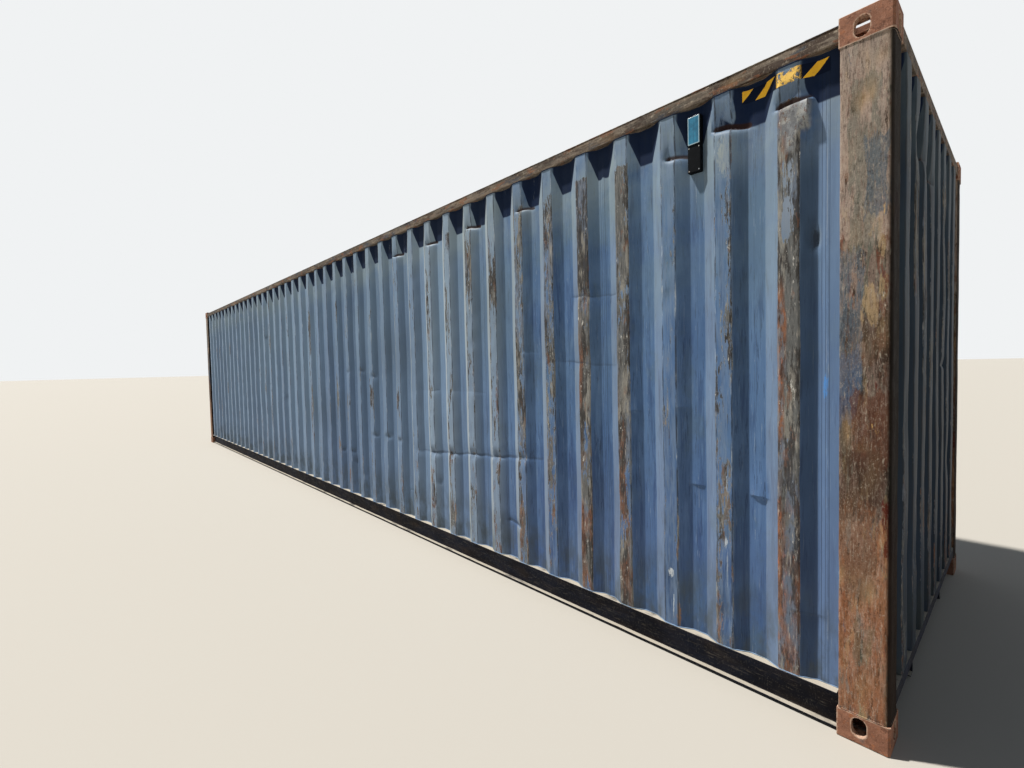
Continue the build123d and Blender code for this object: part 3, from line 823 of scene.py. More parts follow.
# %% Front wall
FRONT_RIDGE = 110 * MM
FRONT_SLOPE = 18 * MM
FRONT_VALLEY = 104 * MM
FRONT_SHEET = 2.0 * MM
FRONT_BEND = 9 * MM
front_low, front_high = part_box("front_wall")
front_trough = front_low.x + FRONT_SHEET
front_depth = front_high.x - front_trough
FRONT_SWAY = 1.4 * MM
FRONT_SWAY_LENGTH = 700 * MM
FRONT_RIPPLE = 0.5 * MM
FRONT_RIPPLE_LENGTH = 150 * MM
# A dent of the front sheet as deep as this gets the full dirt and painted shade of a dent
FRONT_DARKEST_DENT = 14 * MM
FRONT_ROWS = 42 * MM
FRONT_DIMPLES = np.array([
    [-520, 2560, 120, 110, -17], [-470, 2440, 60, 60, 6], [-240, 2480, 90, 140, -12],
    [-880, 1300, 40, 120, -7], [130, 1700, 50, 160, -9], [640, 900, 60, 100, -9],
    [380, 2300, 50, 90, -10], [-620, 620, 40, 60, -6],
]) * MM
FRONT_CREASES = np.array([
    [-600, -420, 2500, 2510, 12, 90, 8], [-330, -130, 2455, 2462, 9, 70, 8],
    [300, 460, 1500, 1504, 8, 60, 8],
]) * MM


def front_damage(y, z, crest):
    """Waves and dents of the front wall, held along its lower and upper edge."""
    edge = window(z, front_low.z, front_high.z, *HELD)
    fold = creases(y, z, FRONT_CREASES)
    hits = dimples(y, z, FRONT_DIMPLES)
    push = FRONT_SWAY * waves(y, z, FRONT_SWAY_LENGTH, 41)
    push += FRONT_RIPPLE * waves(y, z, FRONT_RIPPLE_LENGTH, 42) * crest
    push += hits - fold * (0.3 + 0.7 * crest)
    return push * edge, {
        "wear": 0.4 + 0.12 * waves(y, z, 0.9, 43),
        "crease": fold_lines(y, z, FRONT_CREASES),
        "dent": np.clip(-hits / FRONT_DARKEST_DENT, 0, 1),
    }


def front_place(along, row, rise):
    """A point of the front wall, which faces +X."""
    return np.stack([front_trough + rise, along, row], -1)


front_wall = pressed_sheet(
    "front_wall_sheet",
    corrugation(front_high.y, FRONT_RIDGE, FRONT_SLOPE, FRONT_VALLEY, front_depth), front_depth,
    rows_with(front_low.z, front_high.z, FRONT_ROWS, FRONT_CREASES[:, 2:4].mean(1)),
    front_place, front_damage, FRONT_SHEET, FRONT_BEND, arc=4, flat=3,
)
settle(front_wall, "front_paint", "front_wall")
tell("front wall", [front_wall])

# %% [markdown]
# ## Roof
#
# The roof is sheet with shallow ridges stamped across it, which die out before the rails. One
# surface gives it all: a ridge's height is a smooth step up its long flanks times a smooth
# step at its two ends. Rain stands in the flats between the ridges, and boxes dropped on it
# leave wide dents.

# %% Roof
ROOF_SHEET = 2 * MM
ROOF_PITCH = 209 * MM
ROOF_BASE = 118 * MM
ROOF_FLANK = 27 * MM
ROOF_END_MARGIN = 130 * MM
ROOF_SIDE_MARGIN = 116 * MM
ROOF_END_FLANK = 30 * MM
ROOF_END_FLAT = 60 * MM
# From and to which distance to its long edges, and to its ends, the roof comes loose
ROOF_SIDE_HELD = (60 * MM, 260 * MM)
ROOF_END_HELD = (40 * MM, 200 * MM)
ROOF_SAG = 7 * MM
ROOF_SWAY = 4 * MM
ROOF_SWAY_LENGTH = 1700 * MM
ROOF_RIPPLE = 2 * MM
ROOF_RIPPLE_LENGTH = 420 * MM
ROOF_DENTS = 22
roof_low, roof_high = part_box("roof")
roof_rise = roof_high.z - roof_low.z - ROOF_SHEET


def roof_columns():
    """Places along X: four on each flank of each ridge, with the sheet's two ends."""
    reach = roof_high.x - ROOF_END_MARGIN
    count = int((2 * reach - ROOF_BASE) // ROOF_PITCH) + 1
    centre = (np.arange(count) - (count - 1) / 2) * ROOF_PITCH
    half = ROOF_BASE / 2
    steps = np.linspace(0, 1, 4) * ROOF_FLANK
    across = np.concatenate([-half + steps, [0], (half - steps)[::-1]])
    ends = np.array([roof_low.x, roof_low.x + ROOF_END_FLAT])
    return centre, np.concatenate([ends, (centre[:, None] + across).ravel(), -ends[::-1]])


def dropped_on(seed, count):
    """Random wide dents where something was dropped: place, two half-widths and push."""
    draw = np.random.default_rng(seed)
    spans = [(-5600, 5600), (-950, 950), (60, 170), (60, 170), (-12, -4)]
    return np.stack([draw.uniform(low, high, count) for low, high in spans], 1) * MM


def roof_grid():
    """Top and underside of the roof as grids of points, with how much each point is raised."""
    centre, x = roof_columns()
    end = roof_high.y - ROOF_SIDE_MARGIN
    near_end = end - ROOF_END_FLANK * np.array([0, 0.25, 0.5, 0.75, 1, 2])
    middle = np.linspace(-near_end[-1], near_end[-1], 23)[1:-1]
    y = np.concatenate([[-roof_high.y], -near_end, middle, near_end[::-1], [roof_high.y]])
    x, y = np.meshgrid(x, y)
    off = np.abs(x[..., None] - centre).min(-1)
    across = 1 - smooth_step(off, ROOF_BASE / 2 - ROOF_FLANK, ROOF_BASE / 2)
    along = 1 - smooth_step(np.abs(y), end - ROOF_END_FLANK, end)
    crest = across * along
    loose = smooth_step(roof_high.y - np.abs(y), *ROOF_SIDE_HELD)
    loose = loose * smooth_step(roof_high.x - np.abs(x), *ROOF_END_HELD)
    sag = -ROOF_SAG + ROOF_SWAY * waves(x, y, ROOF_SWAY_LENGTH, 51)
    sag += ROOF_RIPPLE * waves(x, y, ROOF_RIPPLE_LENGTH, 52)
    sag += dimples(x, y, dropped_on(53, ROOF_DENTS))
    z = roof_low.z + ROOF_SHEET + roof_rise * crest + sag * loose
    top = np.stack([x, y, z], -1)
    return top, top - np.array([0, 0, ROOF_SHEET]), crest


roof_top, roof_under, roof_crest = roof_grid()
roof_piece = plate("roof_sheet", roof_top, roof_under, values={
    "crest": roof_crest, "wear": 0.3 + 0 * roof_crest,
})
settle(roof_piece, "roof_paint", "roof")
tell("roof", [roof_piece])

# %% [markdown]
# ## Door sheets
#
# Each door leaf has a sheet with level ridges inside a pressed frame. It is a corrugated sheet
# again, lying on its side: its section runs up the door and its rows run across it.

# %% Door sheets
DOOR_RIDGE = 270 * MM
DOOR_SLOPE = 34 * MM
DOOR_VALLEY = 72 * MM
DOOR_SHEET = 2 * MM
DOOR_BEND = 12 * MM
DOOR_SET_BACK = 2 * MM
DOOR_SWAY = 1.6 * MM
DOOR_SWAY_LENGTH = 500 * MM
DOOR_HELD = 80 * MM
DOOR_ROWS = 26
DOOR_SEEDS = {"left": 61, "right": 67}


def door_sheet(side):
    """The ridged sheet of one leaf, which faces -X."""
    low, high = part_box(f"door_panel_{side}")
    middle = (low.z + high.z) / 2
    trough = -(high.x - DOOR_SHEET)
    corners = corrugation(
        (high.z - low.z) / 2, DOOR_RIDGE, DOOR_SLOPE, DOOR_VALLEY, -low.x - trough
    )
    seed = DOOR_SEEDS[side]

    def damage(z, y, crest):
        edge = window(y, low.y, high.y, DOOR_HELD, DOOR_HELD)
        push = -DOOR_SET_BACK + DOOR_SWAY * waves(z, y, DOOR_SWAY_LENGTH, seed)
        return push * edge, {"wear": 0.36 + 0.1 * waves(z, y, 0.6, seed + 1)}

    def door_place(along, row, rise):
        return np.stack([-(trough + rise), row, middle + along], -1)

    rows = np.linspace(low.y, high.y, DOOR_ROWS)
    piece = pressed_sheet(
        f"door_sheet_{side}", corners, -low.x - trough, rows, door_place, damage, DOOR_SHEET,
        DOOR_BEND, arc=5, flat=4,
    )
    return settle(piece, "door_paint", f"door_panel_{side}")


door_sheets = [door_sheet(side) for side in DOOR_SEEDS]
tell("door sheets", door_sheets)

# %% [markdown]
# ## Rails and posts
#
# The top rail is square tube, the bottom rail a folded channel open to the outside and the
# front post a plate folded round the corner. All are a section carried along a line, so each
# gets the same treatment as the walls: the true bend radius at each corner, and then small
# knocks where steel that sticks out gets hit.


# %% Sections carried along a line
def knocks(along, around, seed, count, depth, reach):
    """Random small dents on a bar: places along it, and which part of its section they hit."""
    draw = np.random.default_rng(seed)
    table = np.stack([
        draw.uniform(along.min(), along.max(), count), draw.uniform(around.min(), around.max(), count),
        draw.uniform(12, 60, count) * MM, np.full(count, reach), -depth * draw.uniform(0.2, 1, count) ** 2,
    ], 1)
    return dimples(along, around, table)


# How a bar is knocked: dents a metre, their reach round its section, and its waves' height and
# length. A tube's section counts as a set distance between its points
FOLD_KNOCKS = (14, 16 * MM, 0.5 * MM, 300 * MM)
TUBE_KNOCKS = (10, 22 * MM, 0.4 * MM, 400 * MM)
TUBE_SPACING = 12 * MM
DIRTY_KNOCK = 3 * MM


def bar(name, corners, radius, thickness, stations, place, dent, seed, outward=1, tube=False,
        arc=4, flat=4):
    """A plate folded along a section and carried along a line. Outward is 1 where the outside
    is on the path's left and -1 where it is on its right. Place turns (section, station) into
    points. Dents push both faces of a folded plate inwards together, and the outside of a
    tube, whose section is closed, alone."""
    path, normal = bent_path(corners, radius, arc, flat)
    normal, walked = outward * normal, walked_along(path)
    if tube:
        path, normal = path[:-1], normal[:-1]
        walked = np.arange(len(path)) * TUBE_SPACING
    per_metre, reach, height, length = TUBE_KNOCKS if tube else FOLD_KNOCKS
    station, around = np.meshgrid(stations, walked, indexing="ij")
    push = knocks(station, around, seed, int(per_metre * np.ptp(stations)), dent, reach)
    push = push + height * waves(station, around * 3, length, seed + 1)
    front = path[None] + push[..., None] * normal[None]
    back = (path[None] + 0 * front if tube else front) - thickness * normal[None]
    values = {"dent": np.clip(-push / DIRTY_KNOCK, 0, 1)}
    return plate(name, place(front, station), place(back, station), tube, values)


def ring(low, high):
    """Corners of a rectangle walked from the middle of its lower side and back to it, with the
    outside on the left."""
    (a0, b0), (a1, b1) = low, high
    middle = ((a0 + a1) / 2, b0)
    return [middle, (a0, b0), (a0, b1), (a1, b1), (a1, b0), middle]


def steps_between(low, high, step):
    """Stations a step apart, the last one at the very end."""
    stations = np.arange(low, high + 1 * MM, step)
    stations[-1] = high
    return stations


def outside_first(low, high, side):
    """Which way a side faces along Y, and a piece's outer and inner place along Y."""
    return (-1, low.y, high.y) if side == "right" else (1, high.y, low.y)


def along_x(section, station):
    """(Y, Z) section points at their places along X."""
    return np.stack([station, section[..., 0], section[..., 1]], -1)


def along_z(section, station):
    """(X, Y) section points at their places along Z."""
    return np.stack([section[..., 0], section[..., 1], station], -1)


print("a square tube has", len(ring((0, 0), (1, 1))) - 2, "corners")

# %% Rails and front posts
RAIL_RADIUS = 6 * MM
RAIL_WALL = 3 * MM
FOOT_FLANGE = 30 * MM
RAIL_PLATE = 4.5 * MM
PLATE_RADIUS = 9 * MM
POST_PLATE = 6 * MM
POST_RADIUS = 24 * MM
RAIL_STEP = 68 * MM
POST_STEP = 18 * MM


def top_rail(side, seed):
    """The square tube along the top of one side."""
    low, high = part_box(f"top_rail_{side}")
    piece = bar(
        f"top_rail_tube_{side}", ring((low.y, low.z), (high.y, high.z)), RAIL_RADIUS, RAIL_WALL,
        steps_between(low.x, high.x, RAIL_STEP), along_x, 3 * MM, seed, tube=True,
    )
    return settle(piece, "rail_steel", f"top_rail_{side}")


def bottom_rail(side, seed):
    """The channel along the bottom of one side: foot, web and wide top flange."""
    low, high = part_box(f"bottom_rail_{side}")
    out, outer, web = outside_first(low, high, side)
    corners = [(web + out * FOOT_FLANGE, low.z), (web, low.z), (web, high.z), (outer, high.z)]
    piece = bar(
        f"bottom_rail_channel_{side}", corners, PLATE_RADIUS, RAIL_PLATE,
        steps_between(low.x, high.x, RAIL_STEP), along_x, 2 * MM, seed, out, arc=6,
    )
    return settle(piece, "base_steel", f"bottom_rail_{side}")


def front_post(side, seed):
    """The plate folded round a front corner, with its two lips behind the walls."""
    low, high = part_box(f"front_post_{side}")
    out, corner, inner = outside_first(low, high, side)
    wall_back = out * (wall_trough - WALL_SHEET)
    corners = [
        (low.x, wall_back), (low.x, corner), (high.x, corner), (high.x, inner),
        (front_low.x, inner),
    ]
    radius = np.array([PLATE_RADIUS, POST_RADIUS, PLATE_RADIUS])
    piece = bar(
        f"front_post_plate_{side}", corners, radius, POST_PLATE,
        steps_between(low.z, high.z, POST_STEP), along_z, 3.5 * MM, seed, out, arc=7, flat=7,
    )
    return settle(piece, "post_steel", f"front_post_{side}")


bars = [maker(side, seed + i) for maker, seed in ((top_rail, 71), (bottom_rail, 75), (front_post, 81))
        for i, side in enumerate(("right", "left"))]
tell("rails and posts", bars)

# %% [markdown]
# ## Hazard tape
#
# A strip of striped film is stuck along the top of the wall beside the post. It follows every
# fold, so its stripes are measured along the folded sheet and not along the container.

# %% Hazard tape on the right wall
TAPE_START = 5539 * MM
TAPE_END = 5882 * MM
TAPE_LOW = 2730 * MM
TAPE_HIGH = 2786 * MM
TAPE_LIFT = 1.3 * MM
TAPE_FILM = 0.4 * MM


def hazard_tape():
    """A film over the wall's own surface: the same section and damage, lifted a little."""
    path, normal = bent_path(wall_corners, WALL_BEND, 6, 8)
    inside = (path[:, 0] > TAPE_START) & (path[:, 0] < TAPE_END)
    x = np.concatenate([[TAPE_START], path[inside, 0], [TAPE_END]])
    rise = np.interp(x, path[:, 0], path[:, 1])
    run = walked_along(np.column_stack([x, rise]))
    x, z = np.meshgrid(x, np.linspace(TAPE_LOW, TAPE_HIGH, 15))
    rise, run = np.broadcast_to(rise, x.shape), np.broadcast_to(run, x.shape)
    push, _ = right_damage(x, z, np.clip(rise / wall_depth, 0, 1))
    surface = rise + push + lap_lift(x) + TAPE_LIFT
    front = right_place(x, z, surface)
    back = right_place(x, z, surface - TAPE_FILM)
    values = {"run": run, "crest": np.clip(rise / wall_depth, 0, 1)}
    return settle(plate("hazard_tape_right", front, back, values=values), "wall_paint")


tape = hazard_tape()
tell("tape", [tape])

# %% [markdown]
# ## Weld beads
#
# Everything here is joined by arc welds. A bead is a rounded string of metal with ripples
# across it, where the pool froze step by step. Each is a small ring of points carried along a
# joint, with a radius that swings a little every few millimetres and closes at both ends.

# %% Beads along the joints
BEAD_STEP = 12 * MM
BEAD_SIDES = 5
BEAD_RIPPLE = 0.16
# From and to which distance to its end a bead grows from its tip to its full radius
BEAD_TIP = (-1 * MM, 9 * MM)


def bead(name, path, radius, outward, slot, seed):
    """A rippled string of weld along a path. The ring stands on the path's direction, with
    outward as one of its two axes."""
    path = np.asarray(path, float)
    walked = walked_along(path)
    places = np.linspace(0, walked[-1], max(int(walked[-1] / BEAD_STEP), 3))
    points = np.stack([np.interp(places, walked, path[:, i]) for i in range(3)], 1)
    heading = unit(np.gradient(points, axis=0))
    side = unit(np.cross(heading, np.asarray(outward, float)))
    up = np.cross(side, heading)
    swing = np.random.default_rng(seed).standard_normal(len(places)).clip(-1.5, 1.5)
    from_end = np.minimum(places, walked[-1] - places)
    size = radius * (1 + BEAD_RIPPLE * swing) * (0.02 + smooth_step(from_end, *BEAD_TIP))
    turn = np.arange(BEAD_SIDES) * 2 * np.pi / BEAD_SIDES
    ring_points = np.cos(turn)[None, :, None] * up[:, None] + np.sin(turn)[None, :, None] * side[:, None]
    grid = points[:, None] + size[:, None, None] * ring_points
    piece = make_piece(name, grid, grid_faces(len(points), BEAD_SIDES, True), crease_angle=80)
    return settle(piece, slot)


print("a bead has a ring every", round(BEAD_STEP / MM), "mm")

# %% Beads at the corners and along the walls
# How far the middle of a bead lies off the joint that it fills
JOINT_GAP = 1 * MM
# Radii of the paths of beads round a front post and round a door post, and of the beads
FRONT_PATH_RADIUS = 30 * MM
DOOR_PATH_RADIUS = 12 * MM
POST_BEAD = 4 * MM
WALL_BEAD = 5 * MM
RAIL_BEAD = 3 * MM
ROOF_BEAD = 2.5 * MM
UPWARD = (0, 0, 1)
LEFT_AND_RIGHT = (("left", 1), ("right", -1))


def sweep(section, z):
    """A path that follows a level section at one height."""
    return np.column_stack([section, np.full(len(section), z)])


def corner_beads():
    """Beads where a post meets its castings, its wall and, in front, the front sheet."""
    low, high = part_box("front_post_left")
    door_low, door_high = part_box("door_post_left")
    corners = [(low.x, high.y), (high.x, high.y), (high.x, low.y)]
    outer, _ = bent_path(corners, FRONT_PATH_RADIUS, 8, 6)
    corners = [(door_high.x, door_high.y), (door_low.x, door_high.y), (door_low.x, door_low.y)]
    door_outer, _ = bent_path(corners, DOOR_PATH_RADIUS, 6, 4)
    made = []
    for side, flip in LEFT_AND_RIGHT:

        def lay(name, path, radius, outward, slot, flip=flip):
            path = np.asarray(path) * [1, flip, 1]
            made.append(bead(f"weld_{name}", path, radius, outward, slot, len(made)))

        for end, section, sign, wall_end in (
            ("front", outer, 1, low.x), ("door", door_outer, -1, door_high.x),
        ):
            for level, z in (("low", low.z + JOINT_GAP), ("high", high.z - JOINT_GAP)):
                name = f"casting_{end}_{side}_{level}"
                lay(name, sweep(section, z), POST_BEAD, UPWARD, "post_steel")
            x, y = wall_end - sign * JOINT_GAP, wall_trough + JOINT_GAP
            upright = [(x, y, wall_low.z), (x, y, wall_high.z)]
            lay(f"wall_{end}_{side}", upright, WALL_BEAD, (sign, 0, 0), "wall_paint")
        x, y = front_trough + JOINT_GAP, front_high.y - JOINT_GAP
        upright = [(x, y, front_low.z), (x, y, front_high.z)]
        lay(f"front_sheet_{side}", upright, POST_BEAD, (1, 0, 0), "front_paint")
    return made


def long_beads():
    """Beads where the side walls meet their rails, and along the roof's edges."""
    section, _ = bent_path(wall_corners, WALL_BEND, 3, 2)
    section = section + [0, wall_trough + JOINT_GAP]
    low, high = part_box("top_rail_left")
    ridge = [(x, high.y, high.z + JOINT_GAP) for x in (low.x, high.x)]
    rows = [
        ("wall_{}_low", sweep(section, wall_low.z + JOINT_GAP), RAIL_BEAD, "wall_paint", 40),
        ("wall_{}_high", sweep(section, wall_high.z - JOINT_GAP), RAIL_BEAD, "wall_paint", 40),
        ("roof_{}", ridge, ROOF_BEAD, "rail_steel", 50),
    ]
    made = []
    for side, flip in LEFT_AND_RIGHT:
        for name, path, radius, slot, seed in rows:
            path = np.asarray(path) * [1, flip, 1]
            name = "weld_" + name.format(side)
            made.append(bead(name, path, radius, UPWARD, slot, seed + len(made)))
    return made


welds = corner_beads() + long_beads()
tell("beads", welds)

# %% [markdown]
# ## Bolt heads
#
# The hinge straps and the rods' brackets are bolted to the leaves, and the tracking unit's
# housing is held by four screws. A round head is a ring of points carried over a quarter circle,
# flattened, and the same head serves at every place, so all heads of a kind are one array.


# %% Round heads
HEAD_TILTS = np.radians([-20, 0, 25, 50, 72, 88])
HEAD_SIDES = 12


def bolt_heads(name, centres, outward, radius, height, slot):
    """Round heads at some places. A point of a head lies off its middle by the radius times the
    cosine of its tilt, and stands out by the height times the tilt's sine."""
    turn = np.arange(HEAD_SIDES) * 2 * np.pi / HEAD_SIDES
    outward = np.asarray(outward, float)
    side = np.roll(np.abs(outward), 1)
    around = np.cos(turn)[:, None] * side + np.sin(turn)[:, None] * np.cross(outward, side)
    head = radius * np.cos(HEAD_TILTS)[:, None, None] * around
    head = head + height * np.sin(HEAD_TILTS)[:, None, None] * outward
    grid = np.asarray(centres)[:, None, None] + head
    faces = grid_faces(len(HEAD_TILTS), HEAD_SIDES, True)
    first = np.arange(len(centres)) * len(HEAD_TILTS) * HEAD_SIDES
    faces = (faces[None] + first[:, None, None]).reshape(-1, 4)
    return settle(make_piece(name, grid, faces, crease_angle=80), slot)


def all_places(x, sides, levels):
    """Every pairing of places to the side and levels, at one place along the container."""
    side, level = np.meshgrid(sides, levels, indexing="ij")
    return np.stack([np.full(side.size, x), side.ravel(), level.ravel()], -1)


print("a head has", len(HEAD_TILTS) * HEAD_SIDES, "points")

# %% Heads on hinges, brackets and housing
# Hinge straps: how far their face is in front of the leaf, places of the bolts inwards from
# the blades' outer end, half a strap's height, and how far the bolts are off its middle
STRAP_PLATE = 8 * MM
STRAP_BOLTS = np.array([104, 66]) * MM
STRAP_HALF = 55 * MM
STRAP_BOLT_RISE = 32 * MM
# Brackets of the lock rods: places of the rods to the side, how far the bolts are off a rod,
# and the brackets' levels
ROD_PLACES = np.array([265, 850]) * MM
BRACKET_BOLT_REACH = 24.5 * MM
BRACKET_LEVELS = np.array([249, 632.5, 1862.5, 2656]) * MM
SCREW_INSET = 8 * MM
SCREW_TOP = 118 * MM


def both_ways(middles, off):
    """Places off some middles by the same distance, first the lower ones."""
    return np.concatenate([middles - off, middles + off])


def door_gear_heads():
    """Four heads on each hinge strap and two on each of the rods' brackets."""
    blade_low, blade_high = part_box("hinge_blades")
    levels = np.linspace(blade_low.z + STRAP_HALF, blade_high.z - STRAP_HALF, 4)
    across = blade_high.y - STRAP_BOLTS
    hinges = all_places(
        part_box("door_frame_left")[0].x - STRAP_PLATE, np.concatenate([across, -across]),
        both_ways(levels, STRAP_BOLT_RISE),
    )
    rods = both_ways(ROD_PLACES, BRACKET_BOLT_REACH)
    guides = all_places(
        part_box("rod_guides")[0].x, np.concatenate([rods, -rods]), BRACKET_LEVELS
    )
    return [
        bolt_heads("hinge_bolts", hinges, (-1, 0, 0), 9 * MM, 6 * MM, "lock_steel"),
        bolt_heads("bracket_bolts", guides, (-1, 0, 0), 5 * MM, 2.5 * MM, "lock_steel"),
    ]


def housing_screws():
    """Four screws in the lower half of the tracking unit's housing."""
    low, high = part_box("tracker_housing")
    across, level = np.meshgrid(
        [low.x + SCREW_INSET, high.x - SCREW_INSET], [low.z + SCREW_INSET, low.z + SCREW_TOP]
    )
    places = np.stack([across.ravel(), np.full(4, low.y), level.ravel()], -1)
    return bolt_heads("housing_screws", places, (0, -1, 0), 3.4 * MM, 1.6 * MM, "lock_steel")


bolts = door_gear_heads() + [housing_screws()]
tell("bolt heads", bolts)

# %% [markdown]
# ## Rounded edges
#
# Cast, sawn and pressed steel never has a knife edge, and the fine bright line along a rounded
# edge is what tells the eye how big a thing is. The solids come as loose triangles, so a copy
# of each is merged into whole faces first, and a Bevel modifier then rounds what is sharper
# than its angle limit.

# %% Copies of solids with rounded edges
# Loose triangles are merged where they meet within this distance and are flat within an angle
WELD_DISTANCE = 0.01 * MM
FLAT_ANGLE = math.radians(0.5)
SHARP_ANGLE = math.radians(38)


def soften(node, slot, width, segments=2):
    """A merged copy of a solid with its edges rounded, which stands for it."""
    mesh = nodes[node].data.copy()
    shape = bmesh.new()
    shape.from_mesh(mesh)
    bmesh.ops.remove_doubles(shape, verts=shape.verts, dist=WELD_DISTANCE)
    bmesh.ops.dissolve_limit(
        shape, angle_limit=FLAT_ANGLE, verts=shape.verts, edges=shape.edges
    )
    shape.to_mesh(mesh)
    shape.free()
    mesh.materials.clear()
    piece = new_object(f"{node}_rounded", mesh)
    bevel = piece.modifiers.new("rounded edges", "BEVEL")
    bevel.width = width
    bevel.segments = segments
    bevel.limit_method = "ANGLE"
    bevel.angle_limit = SHARP_ANGLE
    bevel.harden_normals = True
    mesh.polygons.foreach_set("use_smooth", np.ones(len(mesh.polygons), bool))
    mesh.set_sharp_from_angle(angle=SHARP_ANGLE)
    return settle(piece, slot, node)


SLOT_OF = {row["node"]: row["material_slot"] for row in frame["record"]["subparts"]}
EDGE_WIDTHS = {
    "casting": 3.0, "door_post": 4.0, "front_top_rail": 4.0, "front_sill": 4.0,
    "door_header": 4.0, "door_sill": 3.0, "door_frame": 1.4, "roof_corner_plates": 1.0,
    "cam_keepers": 1.5, "rod_guides": 1.5, "lock_handles": 1.5, "handle_catches": 1.2,
    "hinge_blades": 1.2, "hinge_lugs": 1.0, "lock_rods": 1.0, "tracker_housing": 2.0,
    "tracker_panel": 0.8,
}


def softened_nodes():
    """A rounded copy of each solid whose name starts with one in the table."""
    made = {}
    for start, width in EDGE_WIDTHS.items():
        for node in sorted(n for n in nodes if n.startswith(start)):
            made[node] = soften(node, SLOT_OF[node], width * MM)
    return made


rounded = softened_nodes()
print(len(rounded), "solids with rounded edges")

# %% [markdown]
# ## Materials
#
# The container has few materials: weathering steel under a primer and a matt alkyd coat, cast
# steel, galvanised lock gear, rubber and plywood. What the eye reads is how each has aged, and
# ageing works in patches. So a surface here is a stack of patches laid over each other: large
# soft ones where the coat has chalked, long thin ones where it is rubbed or washed down, and
# small sharp ones where it has chipped. Every patch is a cloud pattern that is cut at a level.

# %% Patterns that are measured in millimetres
EVEN = (1, 1, 1)
UPRIGHT_STREAK = (1, 1, 14)
UPRIGHT_FLECK = (1, 1, 4)


def cloud(tree, size, stretch=EVEN, offset=0.0, detail=6.0, rough=0.62):
    """A cloudy pattern from 0 to 1 with features of that size, longer along stretched axes.
    It reads Object coordinates, so it is fixed to the steel, and an offset shifts it."""
    shifted = add(tree, "ShaderNodeMapping", {
        "Vector": add(tree, "ShaderNodeTexCoord", out="Object"),
        "Scale": [1 / (size * MM * s) for s in stretch],
        "Location": (offset, offset * 1.7, offset * 0.3),
    })
    return add(tree, "ShaderNodeTexNoise", {
        "Vector": shifted, "Scale": 1.0, "Detail": detail, "Roughness": rough,
    })


def ramp(value, low, high, to_low=0.0, to_high=1.0):
    """A value read as how far it is from low to high, with smooth ends."""
    return add(value.tree, "ShaderNodeMapRange", {
        "Value": value, "From Min": low, "From Max": high, "To Min": to_low, "To Max": to_high,
    }, interpolation_type="SMOOTHSTEP")


def tint(amount, base, top):
    """A base colour covered by a top colour as far as the amount says. Colours are hex values
    or outputs of other nodes."""
    base, top = (hex_colour(c) if isinstance(c, str) else c for c in (base, top))
    # Sockets 6 and 7 are the Mix node's two colours, and output 2 is its colour
    return add(amount.tree, "ShaderNodeMix", {0: amount, 6: base, 7: top}, out=2, data_type="RGBA")


def value_of(tree, name):
    """A value that the mesh carries at each of its points, or 0 where it has none."""
    return add(tree, "ShaderNodeAttribute", attribute_name=name, out="Fac")


def place_of(tree, axis):
    """Where a point of the steel is along X, Y or Z."""
    place = add(tree, "ShaderNodeTexCoord", out="Object")
    return add(tree, "ShaderNodeSeparateXYZ", {0: place}, out="XYZ".index(axis))


def facing(tree, axis):
    """How far a face is turned to +X, +Y or +Z, from -1 to 1."""
    normal = add(tree, "ShaderNodeNewGeometry", out="Normal")
    return add(tree, "ShaderNodeSeparateXYZ", {0: normal}, out="XYZ".index(axis))


print("patterns ready")


# %% Patches, grain and masks
def patches(tree, colour, rows):
    """Covers a colour with patches. A row is a patch's colour, its size in millimetres, how
    much longer it is along each axis, where its cloud starts and ends, and how well it covers.
    A cloud is mostly between 0.3 and 0.7, so a start of 0.6 leaves small scattered patches."""
    for i, (top, size, stretch, start, end, cover) in enumerate(rows):
        mask = ramp(cloud(tree, size, stretch, 3.1 + 4.7 * i, 9.0, 0.7), start, end)
        colour = tint(mask * cover, colour, top)
    return colour


def mottle(colour, size, stretch, dark, pale, cover, offset=0.0):
    """Fine grain: a colour goes towards a dark one in a cloud's low parts and towards a pale
    one in its high parts."""
    grain = cloud(colour.tree, size, stretch, 41.0 + offset, 6.0, 0.72)
    colour = tint(ramp(grain, 0.47, 0.33) * cover, colour, dark)
    return tint(ramp(grain, 0.55, 0.69) * cover, colour, pale)


def masked(measures, cover, limits):
    """How far a tone covers: its measures multiplied. A measure that has limits is read as a
    ramp between them."""
    for key, *span in limits:
        cover = (ramp(measures[key], *span) if span else measures[key]) * cover
    return cover


def new_surface(name):
    """An empty material, its tree and its shader."""
    surface = bpy.data.materials.new(name)
    surface.use_nodes = True
    return surface, surface.node_tree, surface.node_tree.nodes["Principled BSDF"]


print("patches, grain and masks ready")

# %% [markdown]
# ## Bare and coated steel
#
# Paint fails first where it is rubbed. The sheets carry how worn each ridge is, and a bare spot
# is wherever that, plus two clouds, passes a level: so a fully worn ridge is bare all over, and
# a lightly worn one only in ragged spots. The steel's relief and gloss follow the same mask:
# rust is rough and pitted, and the coat round it is smoother and stands a little proud.

# %% Where the coat is gone, and how the surface feels
CHALK_SHINE = 0.2
# Shine of the coat in the painted shadow of the top rail
RAIL_SHADOW_SHINE = 0.04
RUST_ROUGHNESS = 0.88


def bare_spots(wear, grain, stretch, level=0.56):
    """1 where the coat is gone. Wear is 0 for a sound coat and 1 for bare steel."""
    coarse = cloud(wear.tree, grain * 6, stretch, 11.3)
    fine = cloud(wear.tree, grain, stretch, 17.9, 8.0, 0.7)
    return ramp(wear + coarse * 1.3 + fine * 1.1 - 1.2, level - 0.025, level + 0.025)


def finish(shader, colour, roughness, relief, strength, depth, shine):
    """Gives the shader its colour, its gloss and a relief with a depth in millimetres."""
    feed(shader, {
        "Base Color": colour, "Roughness": roughness, "Specular IOR Level": shine,
        "Normal": add(colour.tree, "ShaderNodeBump", {
            "Height": relief, "Strength": strength, "Distance": depth * MM,
        }),
    })


